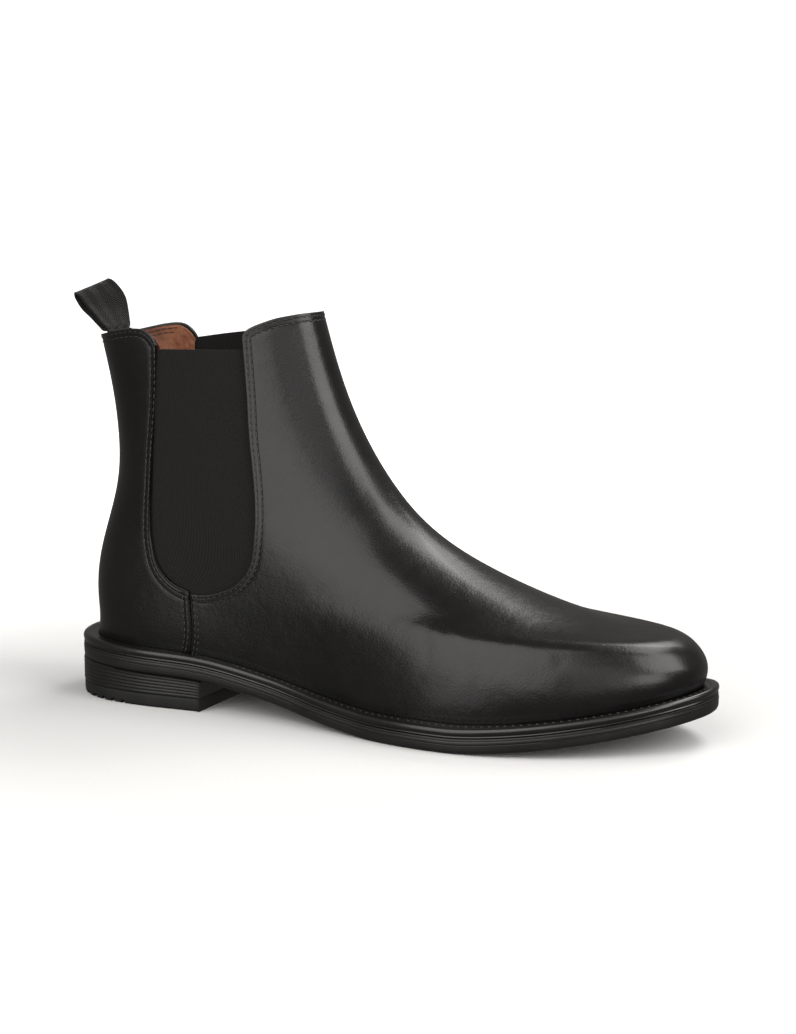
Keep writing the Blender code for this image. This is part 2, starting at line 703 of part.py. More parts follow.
def build_upper(mats):
    u, v = vamp_panel(33, 18)
    add_object("vamp", leather_panel(u, v), mats["vamp"])
    add_object("vamp_lining", lining_panel(u, v), mats["vamp_lining"])
    toe = slice(10, 23)
    add_object("toe_puff", stiffener(u[:5, toe], v[:5, toe]), mats["puff"])

    half_gap = CLEARANCE / 2 / 330
    u, v = quarter_panel(10, 18, half_gap)
    add_object("quarter_lateral", leather_panel(u, v), mats["quarter"])
    medial = dict(gore_side=shortened(GORE_BACK), top=shortened(BACK_TOP))
    u, v = quarter_panel(10, 18, half_gap, **medial)
    add_object("quarter_medial", leather_panel(1 - u[:, ::-1], v[:, ::-1]), mats["quarter"])
    u, v = quarter_panel(10, 18)
    medial_u, medial_v = quarter_panel(10, 18, **medial)
    around_u = np.hstack([-medial_u[:, :0:-1], u])
    around_v = np.hstack([medial_v[:, :0:-1], v])
    add_object("quarter_lining", lining_panel(around_u, around_v), mats["quarter_lining"])
    wings = slice(1, -1)
    counter_u = around_u[:6, wings]
    lower_wings = np.interp(np.abs(counter_u), [0, 0.03, 0.11, 0.17], [1.3, 1.26, 0.82, 0.72])
    counter_v = around_v[:6, wings] * lower_wings
    add_object("heel_counter", stiffener(counter_u, counter_v), mats["counter"])

    u, v = gore_panel(9, 13)
    under = LEATHER + CLEARANCE + STIFFENER
    depth = under - ELASTIC
    solid = shell(layer(u, v, depth), layer(u, v, under))
    add_object("gore_lateral", solid, mats["gore"])
    u, v = gore_panel(9, 13, medial["gore_side"])
    u, v = 1 - u[:, ::-1], v[:, ::-1]
    solid = shell(layer(u, v, depth), layer(u, v, under))
    add_object("gore_medial", solid, mats["gore"])

    build_back_strip(mats)


def build_back_strip(mats):
    """The strip that covers the back seam, standing on the two quarters from the welt to the top."""
    rows = 17
    foot = last_surface(0.0, 0.0)
    low = float(v_at_height(0.0, sole_top(foot[0]) + 4.8))
    v = np.linspace(low, float(top_line(BACK_TOP)(0.0)), rows)
    across = np.linspace(-1, 1, 4)
    width = STRIP_HALF_WIDTH
    u = np.zeros((rows, len(across)))
    for k in range(rows):
        near = np.linspace(-0.06, 0.06, 61)
        run = last_surface(near, np.full(61, v[k]))
        span = np.concatenate([[0], np.cumsum(np.linalg.norm(np.diff(run, axis=0), axis=1))])
        span -= np.interp(0, near, span)
        u[k] = np.interp(across * width, span, near)
    grid_v = np.repeat(v[:, None], len(across), axis=1)
    outer = layer(u, grid_v, -CLEARANCE - STRIP)
    inner = layer(u, grid_v, -CLEARANCE)
    add_object("back_strip", shell(outer, inner), mats["strip"])


# ---------------------------------------------------------------- the pull tab
def tab_hinge():
    """A point on the hinge line: over the gap between leather and lining at the back of the top line."""
    v = float(top_line(BACK_TOP)(0.0))
    rim = last_surface(0.0, v)
    between = rim - (LEATHER + CLEARANCE + STIFFENER / 2) * last_normal(0.0, v)
    return np.array([between[0], 0.0, rim[2] + TAB_AXIS_RISE])


def build_tab(mats):
    side = spline_through(TAB_LOOP)(np.linspace(0, 1, 17))
    middle = np.vstack([side, side[-2:0:-1] * (-1, 1)])
    run = np.roll(middle, -1, axis=0) - np.roll(middle, 1, axis=0)
    out = np.column_stack([run[:, 1], -run[:, 0]])
    out /= np.linalg.norm(out, axis=1, keepdims=True)
    hinge = tab_hinge()
    along = np.array([math.sin(TAB_LEAN), 0.0, math.cos(TAB_LEAN)])
    level = np.array([math.cos(TAB_LEAN), 0.0, -math.sin(TAB_LEAN)])
    side_on = np.array([0.0, 1.0, 0.0])
    turn = TAB_TWIST * np.clip(middle[:, 1:] / TAB_LOOP[-1][1], 0, 1)
    through_it = np.cos(turn) * level - np.sin(turn) * side_on
    across = np.sin(turn) * level + np.cos(turn) * side_on
    loops = []
    for offset, y in ((1, -1), (1, 1), (-1, 1), (-1, -1)):
        line = middle + out * offset * TAB_THICK / 2
        place = hinge + line[:, :1] * through_it + line[:, 1:] * along
        loops.append(place + across * (y * TAB_WIDTH / 2))
    add_object("pull_tab", ring_of(loops), mats["tab"], hinge)
    return hinge


def main():
    for obj in list(bpy.data.objects):
        bpy.data.objects.remove(obj, do_unlink=True)
    mats = {
        "rubber": material("outsole_rubber", (40, 38, 38), 0.45),
        "heel": material("heel_stack_rubber", (34, 32, 32), 0.42),
        "top_piece": material("top_piece_rubber", (27, 26, 26), 0.6),
        "welt": material("welt_rubber", (46, 43, 43), 0.35),
        "steel": material("spring_steel", (150, 150, 148), 0.35, 1.0),
        "cork": material("cork_filler", (139, 104, 70), 0.9),
        "board": material("insole_fibreboard", (150, 120, 88), 0.85),
        "foam": material("footbed_foam_grey", (120, 118, 112), 0.9),
        "sock": material("sock_liner_leather", (128, 86, 62), 0.6),
        "vamp": material("vamp_leather", (38, 36, 36), 0.28),
        "quarter": material("quarter_leather", (36, 34, 34), 0.3),
        "strip": material("back_strip_leather", (34, 32, 32), 0.3),
        "gore": material("gore_elastic", (34, 32, 31), 0.85),
        "vamp_lining": material("vamp_lining_leather", (131, 89, 66), 0.65),
        "quarter_lining": material("quarter_lining_leather", (135, 90, 66), 0.6),
        "counter": material("heel_counter_board", (168, 148, 118), 0.8),
        "puff": material("toe_puff_sheet", (186, 178, 160), 0.8),
        "tab": material("pull_tab_webbing", (42, 39, 38), 0.9),
    }
    build_bottom(mats)
    build_upper(mats)
    hinge = build_tab(mats)
    low, high = np.full(3, 1e9), np.full(3, -1e9)
    bpy.context.view_layer.update()
    for obj in bpy.data.objects:
        if obj.type == "MESH" and not obj.hide_render:
            for corner in obj.bound_box:
                point = np.array(obj.matrix_world @ Vector(corner)) / MM
                low, high = np.minimum(low, point), np.maximum(high, point)
    print("box, mm:", low.round(3), high.round(3), "hinge, mm:", (hinge + SHIFT).round(3))


if __name__ == "__main__":
    main()
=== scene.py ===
# %% [markdown]
# # A chelsea boot
# A chelsea boot is an ankle boot with no laces: a front panel (the vamp), two back
# panels (the quarters) and a piece of elastic (the gore) on each side, drawn over a
# foot-shaped form called a last and closed below by a welt, an outsole and a stacked
# heel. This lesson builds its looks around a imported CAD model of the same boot, which
# is loaded first and never changed.

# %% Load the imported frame
import math

import bpy
import numpy as np
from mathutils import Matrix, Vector, noise
from mathutils.kdtree import KDTree


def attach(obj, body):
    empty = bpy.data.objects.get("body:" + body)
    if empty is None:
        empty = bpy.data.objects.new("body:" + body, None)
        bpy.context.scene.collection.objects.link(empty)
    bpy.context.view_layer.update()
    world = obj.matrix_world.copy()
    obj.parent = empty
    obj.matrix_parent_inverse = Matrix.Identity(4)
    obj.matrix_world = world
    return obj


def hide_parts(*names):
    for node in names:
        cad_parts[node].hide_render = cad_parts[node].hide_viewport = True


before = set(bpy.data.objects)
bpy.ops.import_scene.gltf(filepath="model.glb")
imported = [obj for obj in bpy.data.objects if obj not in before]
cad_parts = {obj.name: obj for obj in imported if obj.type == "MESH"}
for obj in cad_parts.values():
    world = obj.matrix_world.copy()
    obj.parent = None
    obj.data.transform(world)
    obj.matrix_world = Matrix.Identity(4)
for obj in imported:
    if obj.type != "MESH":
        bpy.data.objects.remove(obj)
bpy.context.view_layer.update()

bpy.ops.object.select_all(action="DESELECT")

# %% [markdown]
# ## Working in last coordinates
# Bootmakers measure from the back of the sole, so every piece is drawn in
# millimetres with x = 0 at the back of the outsole, and one function moves the
# points into the frame of the CAD model, in metres.

# %% Millimetres to the frame
SHIFT = np.array([-150.749, 1.540, 0.0])
MM = 0.001
CLEARANCE = 0.3
LEATHER = 1.4
LINING = 0.9
OUTSOLE_THICK = 6.8
HEEL_BREAST_X = 77.0
TOP_PIECE_THICK = 6.2
HINGE = np.array([14.541, 0.0, 170.209])  # the pull tab's fold line


def placed(points):
    """Last coordinates in millimetres to the frame in metres."""
    return (np.asarray(points, float) + SHIFT) * MM


def smooth_step(value, low, high):
    share = np.clip((value - low) / (high - low), 0, 1)
    return share * share * (3 - 2 * share)


def bell(value, width):
    return np.exp(-((value / width) ** 2))


# %% [markdown]
# ## The last
# A last is one smooth closed form, so it is a single surface S(u, v): u goes round
# from the back seam over the lateral side, toe and medial side, and v climbs from the
# sole to past the top line. Sixteen columns of control points on eight rings are
# blended with cubic B-spline weights. Every leather piece is then cut from this one
# surface, as the real panels are drawn over one last, and so their edges always meet.

# %% Curves
OUTLINE = [
    (0, 0), (4.5, -19), (18, -32), (42, -37.5), (78, -37), (115, -38.5), (150, -46),
    (185, -54), (215, -55), (245, -48.5), (272, -36.5), (293, -21), (303.5, -6),
    (306, 7), (302.5, 20), (292, 32.5), (273, 44), (247, 51), (215, 52), (180, 46),
    (145, 37), (110, 32.5), (78, 34.5), (42, 37), (18, 32), (4.5, 19),
]
SOLE_PROFILE = [
    (0, 17.6), (40, 15.8), (77, 14.2), (108, 9.4), (138, 3.6), (160, 0.7), (175, 0.0),
    (207, 0.0), (240, 3.0), (272, 8.0), (306, 15.0),
]


def spline_through(points, closed=False):
    """Catmull-Rom curve through the points, as a function of the share of the way."""
    pts = np.asarray(points, float)
    count = len(pts)
    if not closed:
        pts = np.vstack([2 * pts[0] - pts[1], pts, 2 * pts[-1] - pts[-2]])

    def at(share):
        share = np.atleast_1d(np.asarray(share, float))
        spans = count if closed else count - 1
        place = (share % 1.0) * spans if closed else np.clip(share, 0, 1) * spans
        i = np.minimum(place.astype(int), spans - 1)
        t = (place - i)[:, None]
        if closed:
            p0, p1, p2, p3 = (pts[(i + k) % count] for k in (-1, 0, 1, 2))
        else:
            p0, p1, p2, p3 = (pts[i + k] for k in (0, 1, 2, 3))
        return 0.5 * (
            2 * p1 + (p2 - p0) * t + (2 * p0 - 5 * p1 + 4 * p2 - p3) * t**2
            + (3 * p1 - p0 - 3 * p2 + p3) * t**3
        )

    return at


def height_curve(points):
    line = spline_through(points)(np.linspace(0, 1, 400))
    return lambda x: np.maximum(np.interp(x, line[:, 0], line[:, 1]), 0)


sole_bottom = height_curve(SOLE_PROFILE)


def sole_top(x):
    return sole_bottom(x) + OUTSOLE_THICK


print("outsole top at heel, ball, toe, mm:", sole_top(np.array([5.0, 190.0, 300.0])).round(1))

# %% Control rings of the last
STATION_SHARE = [0.0, 0.0, 0.09, 0.26, 0.44, 0.62, 0.80, 0.965, 1.0]
# back (x, z), front (x, z), lateral half widths, medial half widths, tip's y
RINGS = [
    ((8.5, 23), (300.5, 20), (21, 32, 29.5, 34, 48.5, 44, 20), (21, 31.5, 26.5, 24, 38, 48, 31), 6),
    ((10.9, 36), (307.4, 33), (22, 34, 31, 36, 50.5, 46, 21), (22, 33.5, 29, 28, 41, 49, 32), 6),
    ((9.2, 47.5), (293.4, 49.6), (22, 34, 32, 35.5, 46, 42, 20), (22, 34, 31.5, 31.5, 41, 45, 29), 6),
    ((10.3, 67.9), (269.3, 44.2), (21, 32.5, 33, 34, 37, 35, 19), (21, 32.5, 33, 33, 36, 36, 22), 4),
    ((21.8, 98.2), (190.2, 71.2), (18.5, 30, 32.5, 33, 31.5, 27, 14), (18.5, 30, 32.5, 33, 31.5, 27, 14), 2),
    ((22.6, 118), (158.5, 98.4), (16, 27, 30.5, 31.5, 30, 25, 13.5), (16, 27, 30.5, 31.5, 30, 25, 13.5), 0),
    ((19.1, 145), (133.3, 139.7), (14.5, 24.5, 28.5, 30, 28.5, 23.5, 13),
     (14.5, 24.5, 28.5, 30, 28.5, 23.5, 13), 0),
    ((9.5, 178), (120.4, 187), (13.5, 22.5, 26.5, 28, 26.5, 22, 12.5),
     (13.5, 22.5, 26.5, 28, 26.5, 22, 12.5), 0),
]


def ring_points(number):
    """The sixteen control points of a ring: back, lateral side, front, medial side."""
    (xb, zb), (xf, zf), lateral, medial, tip = RINGS[number]
    points = []
    for k in range(16):
        station = k if k <= 8 else 16 - k
        x = xb + (xf - xb) * STATION_SHARE[station]
        z = zb + (zf - zb) * STATION_SHARE[station]
        if number < 2:
            z = float(sole_top(x)) + (CLEARANCE, 13.0)[number]
        if station in (0, 8):
            y = tip if station == 8 else 0.0
        else:
            y = -lateral[station - 1] if k < 8 else medial[station - 1]
        points.append((x, y, z))
    return points


NET = np.array([ring_points(j) for j in range(len(RINGS))], float)
NET = np.vstack([(2 * NET[0] - NET[1])[None], NET, (2 * NET[-1] - NET[-2])[None]])


def basis(t):
    """The four uniform cubic B-spline weights at t, 0 to 1."""
    return np.stack([(1 - t) ** 3, 3 * t**3 - 6 * t**2 + 4, -3 * t**3 + 3 * t**2 + 3 * t + 1, t**3]) / 6


def net_surface(u, v):
    rows, columns = len(RINGS), NET.shape[1]
    pu = (u % 1.0) * columns
    pv = np.clip(v, -0.05, 1.05) * (rows - 1)
    iu = np.floor(pu).astype(int)
    iv = np.clip(np.floor(pv).astype(int), 0, rows - 2)
    wu, wv = basis(pu - iu), basis(pv - iv)
    total = np.zeros(u.shape + (3,))
    for a in range(4):
        for b in range(4):
            total += (wv[a] * wu[b])[..., None] * NET[iv + a, (iu + b - 1) % columns]
    return total


def last_surface(u, v):
    """Point on the outside of the upper; its lowest line follows the outsole exactly."""
    u, v = np.broadcast_arrays(np.asarray(u, float), np.asarray(v, float))
    point = net_surface(u, v)
    foot = net_surface(u, np.zeros(u.shape))
    fade = np.clip(1 - v / 0.16, 0, 1) ** 2
    point[..., 2] += (sole_top(foot[..., 0]) + CLEARANCE - foot[..., 2]) * fade
    return point


def unit(vectors):
    return vectors / np.linalg.norm(vectors, axis=-1, keepdims=True)


def last_normal(u, v):
    step = 1e-3
    along = last_surface(u + step, v) - last_surface(u - step, v)
    up = last_surface(u, v + step) - last_surface(u, v - step)
    return unit(np.cross(along, up))


def level_normal(u):
    """The outward direction at the feather line, laid level."""
    normal = last_normal(u, np.full(np.shape(u), 0.02))
    normal[..., 2] = 0
    return unit(normal)


def v_at_height(u, z):
    """Where the line u crosses the height z."""
    low, high = np.zeros(np.shape(u)), np.full(np.shape(u), 1.05)
    for _ in range(30):
        middle = (low + high) / 2
        below = last_surface(u, middle)[..., 2] < z
        low, high = np.where(below, middle, low), np.where(below, high, middle)
    return (low + high) / 2


def slide(uv, steps):
    """Move (u, v) points over the last by displacements in millimetres."""
    for _ in range(2):
        here = last_surface(uv[:, 0], uv[:, 1])
        a = (last_surface(uv[:, 0] + 1e-4, uv[:, 1]) - here) / 1e-4
        b = (last_surface(uv[:, 0], uv[:, 1] + 1e-4) - here) / 1e-4
        aa, bb, ab = (a * a).sum(1), (b * b).sum(1), (a * b).sum(1)
        sa, sb = (a * steps).sum(1) / 2, (b * steps).sum(1) / 2
        det = aa * bb - ab**2
        uv = uv + np.column_stack([(bb * sa - ab * sb) / det, (aa * sb - ab * sa) / det])
    return uv


print(
    "last length at the ball's height, mm:",
    round(float(np.ptp(last_surface(np.linspace(0, 1, 99), 0.1)[:, 0])), 1)
)

# %% [markdown]
# ## Seam lines
# The panels are separated by a few lines drawn on the last: the short seam under the
# gore, the gore's two sides, and the top edges. They are written once for the lateral
# side. The medial side is the same with 1 - u.

# %% Seam lines and panels on the last
SIDE_SEAM = [(0.1655, 0.0), (0.1666, 0.1014), (0.1691, 0.2231), (0.1728, 0.3381)]
GORE_FRONT = [
    (0.1728, 0.3381), (0.1839, 0.3430), (0.1930, 0.3599), (0.2041, 0.3879), (0.2150, 0.4227),
    (0.2302, 0.4728), (0.2487, 0.5344), (0.2695, 0.5995), (0.2869, 0.6623), (0.3028, 0.7292),
    (0.3185, 0.7990), (0.3326, 0.8575), (0.3418, 0.9050), (0.3487, 0.9476),
]
GORE_BACK = [
    (0.1728, 0.3381), (0.1647, 0.3540), (0.1576, 0.3788), (0.1519, 0.4136), (0.1491, 0.4528),
    (0.1484, 0.5115), (0.1531, 0.5928), (0.1653, 0.7022), (0.1809, 0.7853), (0.1993, 0.8608),
    (0.2173, 0.9381),
]
FRONT_TOP = [
    (0.3487, 0.9476), (0.3511, 0.9558), (0.3582, 0.9630), (0.3685, 0.9681), (0.3850, 0.9734),
    (0.4023, 0.9776), (0.4204, 0.9798), (0.4421, 0.9815), (0.4707, 0.9821), (0.5, 0.9822),
]
BACK_TOP = [
    (0.0, 0.9575), (0.05, 0.9585), (0.097, 0.961), (0.1307, 0.9652), (0.1607, 0.9694),
    (0.1865, 0.9706), (0.2015, 0.9666), (0.2108, 0.9575), (0.2155, 0.9473), (0.2173, 0.9381),
]
GORE_TOP = [(0.1794, 0.9330), (0.2173, 0.9345), (0.2803, 0.9350), (0.3487, 0.9350), (0.3936, 0.9350)]
MEDIAL_GORE_TOP = [(0.1500, 0.9370), (0.1900, 0.9430), (0.2500, 0.9510), (0.3487, 0.9600), (0.3936, 0.9640)]
MEDIAL_SHORTER = 0.029  # how much less far forward the medial quarter reaches at the top, in u
GORE_MARGIN = 8.0


def shortened(line):
    """A line of the quarter as it runs on the medial side, where the quarter is shorter."""
    line = np.array(line, float)
    share = line[:, 0] / GORE_BACK[-1][0]
    line[:, 0] -= MEDIAL_SHORTER * smooth_step(line[:, 1], 0.5, 0.938) * np.clip(share, 0, 1)
    return line


def mirrored(line):
    return np.asarray(line, float) * (-1, 1) + (1, 0)


MEDIAL_GORE_BACK, MEDIAL_TOP = shortened(GORE_BACK), shortened(BACK_TOP)


def through(points, shares):
    """Points at shares of the length of the smooth curve through a list of (u, v)."""
    fine = spline_through(points)(np.linspace(0, 1, 900))
    place = last_surface(fine[:, 0], fine[:, 1])
    run = np.concatenate([[0], np.cumsum(np.linalg.norm(np.diff(place, axis=0), axis=1))])
    even = np.asarray(shares) * run[-1]
    return np.column_stack([np.interp(even, run, fine[:, 0]), np.interp(even, run, fine[:, 1])])


def spread(count, dense):
    """Shares from 0 to 1, closer together near each (place, width, strength) of dense."""
    fine = np.linspace(0, 1, 3000)
    density = 1 + sum(strength * bell(fine - place, width) for place, width, strength in dense)
    run = np.concatenate([[0], np.cumsum((density[1:] + density[:-1]) / 2)])
    return np.interp(np.linspace(0, run[-1], count), run, fine)


def top_line(points):
    fine = spline_through(points)(np.linspace(0, 1, 700))
    return lambda u: np.interp(u, fine[:, 0], fine[:, 1])


def side_edge(gore_side, direction, rows):
    """A panel's edge from the sole up: the seam under the gore, then one side of the gore."""
    low_rows = rows // 4
    low = through(SIDE_SEAM, np.linspace(0, 1, low_rows + 1))
    high = through(gore_side, spread(rows - low_rows, [(1.0, 0.06, 1.6), (0.0, 0.05, 0.8)]))
    edge = np.vstack([low, high[1:]])
    back_off = np.zeros((len(edge), 3))
    back_off[:, 0] = direction * CLEARANCE / 2
    edge = slide(edge, back_off)
    edge[0, 1] = 0
    return edge


def panel(left, right, crest, across):
    """Grid of (u, v) between two side edges given row by row, up to a top line v(u)."""
    rows = len(left)
    across = across[None, :]
    inside = smooth_step(np.minimum(across, 1 - across), 0, 0.22)
    u = left[:, :1] * (1 - across) + right[:, :1] * across
    share = np.arange(rows)[:, None] / (rows - 1)
    share = 0.8 * share + 0.2 * np.sin(share * np.pi / 2)
    edge = left[:, 1:] / left[-1, 1] * (1 - across) + right[:, 1:] / right[-1, 1] * across
    height = edge * (1 - inside) + (0.35 * edge + 0.65 * share) * inside
    return u, height * crest(u)


gore_edge = last_surface(*through(GORE_FRONT, np.linspace(0, 1, 200)).T)
gore_run = float(np.linalg.norm(np.diff(gore_edge, axis=0), axis=1).sum())
print("gore's front edge, mm long:", round(gore_run, 1))

# %% [markdown]
# ## From a primitive to a lasted piece
# Lasting pulls a flat cut panel over the last. Here a grid primitive is pulled over it
# in the same way: every point of the flat grid is moved to its place on the surface.
# Extruding and bending by hand could not hold such a double-curved shape, so the
# points are placed in code. Solidify then gives the leather its thickness, and Bevel
# rounds the cut edge.

# %% Tools for grids, walls and edges
def new_primitive(name, add, **settings):
    """Add a primitive with nothing else selected, and name it."""
    bpy.ops.object.select_all(action="DESELECT")
    add(**settings)
    piece = bpy.context.object
    piece.name = piece.data.name = name
    return piece


def move_points(piece, points):
    piece.data.vertices.foreach_set("co", placed(points).astype(np.float32).ravel())
    piece.data.update()


def grid_piece(name, points):
    """Pull a grid primitive over an array of points, rows up and columns across."""
    rows, columns = points.shape[:2]
    piece = new_primitive(
        name, bpy.ops.mesh.primitive_grid_add, x_subdivisions=columns - 1, y_subdivisions=rows - 1, size=2
    )
    flat = np.array([v.co for v in piece.data.vertices])
    column = np.round((flat[:, 0] + 1) / 2 * (columns - 1)).astype(int)
    row = np.round((flat[:, 1] + 1) / 2 * (rows - 1)).astype(int)
    move_points(piece, points[row, column])
    return piece, row, column


def store(piece, name, values):
    """Keep one number per point, for the material or for later steps."""
    attribute = piece.data.attributes.new(name, "FLOAT", "POINT")
    attribute.data.foreach_set("value", np.asarray(values, np.float32))


def apply_modifier(piece, kind, **settings):
    modifier = piece.modifiers.new(kind.lower(), kind)
    for key, value in settings.items():
        setattr(modifier, key, value)
    bpy.context.view_layer.objects.active = piece
    bpy.ops.object.modifier_apply(modifier=modifier.name)


def give_thickness(piece, thick, row, column, round_by, skip_rows=0):
    """Solidify inwards, then round the rim's outer and inner edges."""
    count = len(row)
    on_rim = (row == row.max()) | (((column == 0) | (column == column.max())) & (row >= skip_rows))
    apply_modifier(piece, "SOLIDIFY", thickness=thick * MM, offset=-1)
    mesh = piece.data
    ends = np.array([edge.vertices[:] for edge in mesh.edges])
    same_side = (ends < count).sum(1) != 1
    rim = on_rim[ends[:, 0] % count] & on_rim[ends[:, 1] % count] & same_side & (ends < 2 * count).all(1)
    weight = mesh.attributes.new("bevel_weight_edge", "FLOAT", "EDGE")
    weight.data.foreach_set("value", rim.astype(np.float32))
    apply_modifier(piece, "BEVEL", limit_method="WEIGHT", width=round_by * MM, segments=3)
    if mesh.attributes.get("bevel_weight_edge"):
        piece.data.attributes.remove(piece.data.attributes["bevel_weight_edge"])


def finish_piece(piece, body, material, replaces=(), smooth=40):
    """Smooth shading, one material, and the piece's place in the frame."""
    bpy.ops.object.select_all(action="DESELECT")
    piece.select_set(True)
    bpy.context.view_layer.objects.active = piece
    bpy.ops.object.shade_smooth_by_angle(angle=math.radians(smooth))
    piece.data.materials.clear()
    piece.data.materials.append(material)
    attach(piece, body)
    if replaces:
        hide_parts(*replaces)
    piece.data.calc_loop_triangles()
    box = np.array([v.co for v in piece.data.vertices]) / MM
    print(
        piece.name, "triangles", len(piece.data.loop_triangles), "mm", box.min(0).round(1),
        box.max(0).round(1)
    )


# %% [markdown]
# ## Colours and node materials
# Colours are written as sRGB hex values, and one function turns them to the linear
# numbers that a shader works in. A second small function adds a node with its
# settings, its constants and its links. Each material below starts from what the real
# one is, and its pattern sizes come from millimetres.

# %% Material tools
def linear(hex_colour):
    channels = [int(hex_colour[k:k + 2], 16) / 255 for k in (1, 3, 5)]
    return [c / 12.92 if c <= 0.04045 else ((c + 0.055) / 1.055) ** 2.4 for c in channels] + [1.0]


def add_node(tree, kind, settings=None, values=None, links=None):
    """One node: settings are its properties, values its constants, links its inputs."""
    node = tree.nodes.new(kind)
    for key, value in (settings or {}).items():
        setattr(node, key, value)
    for key, value in (values or {}).items():
        node.inputs[key].default_value = value
    for key, socket in (links or {}).items():
        tree.links.new(socket, node.inputs[key])
    return node


def new_material(name, **constants):
    """An empty Principled material with constants on the shader's own sockets."""
    material = bpy.data.materials.new(name)
    material.use_nodes = True
    tree = material.node_tree
    shader = tree.nodes["Principled BSDF"]
    for key, value in constants.items():
        shader.inputs[key.replace("_", " ")].default_value = value
    return material, tree, shader


def ramp(tree, source, stops, smooth="EASE"):
    """A colour ramp with (place, colour) stops; colours are hex or grey values."""
    node = add_node(tree, "ShaderNodeValToRGB", links={"Fac": source})
    node.color_ramp.interpolation = smooth
    band = node.color_ramp.elements
    while len(band) < len(stops):
        band.new(0.5)
    for element, (place, colour) in zip(band, stops):
        element.position = place
        element.color = linear(colour) if isinstance(colour, str) else (colour, colour, colour, 1)
    return node.outputs["Color"]


def per_mm(size):
    """Texture scale at which one cell is that many millimetres of Object space."""
    return 1000.0 / size


# %% [markdown]
# ## Polished box calf
# The upper is black box calf: smooth chrome-tanned calfskin, glazed with wax. To the
# eye it is almost black in the shade, with broad satin highlights that break up into
# a fine pebble because the grain cells are near 0.9 mm. The leather is pressed down
# along its stitch rows and a little duller and lighter at its edges, where hands and
# trouser legs rub. The edge distance is stored on each piece in millimetres.

# %% Box calf
STITCH_ROWS = (1.5, 3.7)


def build_calf():
    material, tree, shader = new_material(
        "black_box_calf_waxed", IOR=1.5, Specular_IOR_Level=0.42, Coat_Weight=0.2,
        Coat_Roughness=0.16, Coat_IOR=1.5,
    )
    place = add_node(tree, "ShaderNodeTexCoord").outputs["Object"]
    edge = add_node(tree, "ShaderNodeAttribute", {"attribute_name": "edge_mm"}).outputs["Fac"]
    cloud = add_node(
        tree, "ShaderNodeTexNoise", values={"Scale": per_mm(38), "Detail": 3.0}, links={"Vector": place}
    )
    pebble = add_node(
        tree, "ShaderNodeTexVoronoi", {"feature": "SMOOTH_F1"}, {"Scale": per_mm(0.95), "Smoothness": 0.6},
        {"Vector": place},
    )
    fine = add_node(
        tree, "ShaderNodeTexNoise", values={"Scale": per_mm(0.55), "Detail": 2.0}, links={"Vector": place}
    )
    wide = add_node(
        tree, "ShaderNodeTexNoise", values={"Scale": per_mm(7.0), "Detail": 2.0}, links={"Vector": place}
    )
    colour = ramp(tree, cloud.outputs["Fac"], [(0.3, "#0a0909"), (0.7, "#110f0f")])
    share = add_node(tree, "ShaderNodeMath", {"operation": "MULTIPLY"}, {1: 0.1}, {0: edge}).outputs[0]
    rubbed = ramp(tree, share, [(0.0, 0.55), (0.05, 0.3), (0.11, 0.0)])
    worn = add_node(
        tree, "ShaderNodeMix", {"data_type": "RGBA"}, {"B": linear("#262221")}, {
            "Factor": rubbed, "A": colour
        }
    )
    tree.links.new(worn.outputs["Result"], shader.inputs["Base Color"])
    rough = add_node(
        tree, "ShaderNodeMapRange", values={"To Min": 0.25, "To Max": 0.35},
        links={"Value": wide.outputs["Fac"]},
    )
    rubbed_rough = add_node(
        tree, "ShaderNodeMath", {"operation": "MULTIPLY_ADD"}, {1: 0.25},
        {0: rubbed, 2: rough.outputs["Result"]},
    )
    tree.links.new(rubbed_rough.outputs[0], shader.inputs["Roughness"])
    first, second = (row / 10 for row in STITCH_ROWS)
    pressed = ramp(
        tree, share,
        [(0.0, 0.75), (0.04, 1.0), (first - 0.04, 0.9), (first, 0.25), (first + 0.05, 0.85),
         (second - 0.06, 0.9), (second, 0.3), (second + 0.06, 0.9), (second + 0.2, 1.0)],
    )
    grooves = add_node(
        tree, "ShaderNodeBump", values={"Strength": 0.9, "Distance": 0.35 * MM}, links={"Height": pressed}
    )
    soft = add_node(
        tree, "ShaderNodeBump", values={"Strength": 0.5, "Distance": 0.35 * MM},
        links={"Height": wide.outputs["Fac"], "Normal": grooves.outputs["Normal"]},
    )
    grain = add_node(
        tree, "ShaderNodeBump", values={"Strength": 0.55, "Distance": 0.07 * MM},
        links={"Height": pebble.outputs["Distance"], "Normal": soft.outputs["Normal"]},
    )
    pores = add_node(
        tree, "ShaderNodeBump", values={"Strength": 0.4, "Distance": 0.05 * MM},
        links={"Height": fine.outputs["Fac"], "Normal": grain.outputs["Normal"]},
    )
    tree.links.new(pores.outputs["Normal"], shader.inputs["Normal"])
    return material


calf = build_calf()
print("material", calf.name)

# %% [markdown]
# ## Vamp and quarters
# The vamp is one piece of calf from gore to gore over the toe, and each quarter wraps
# one side of the heel. Their free edges are folded, which leaves a soft ridge just
# inside the edge, and beside the side seam both panels dip towards each other. The
# vamp also has flex creases behind the ball, where the foot bends, and a shallow
# valley where the toe puff ends. At the feather line the leather turns in under the
# insole as a lasting margin.

# %% Relief drawn on the panels
FLANGE = 11.0
SHAFT_ROUND = 330.0  # mm round the shaft at the top
BALL_ROUND = 480.0  # mm round the upper at the ball, for one turn of u
TOE_VALLEY = [
    (250.3, -36.5, 40.5), (265.7, -30.2, 40.7), (280.5, -21.9, 40.4), (287.5, -16.4, 39.9),
    (296.8, -4.0, 38.2),
]
TOE_VALLEY_LINE = spline_through(TOE_VALLEY)(np.linspace(0, 1, 300))
TOE_VALLEY_LINE = np.vstack([TOE_VALLEY_LINE, TOE_VALLEY_LINE * (1, -1, 1) + (0, 6, 0)])
print("toe valley starts", TOE_VALLEY[0], "mm")
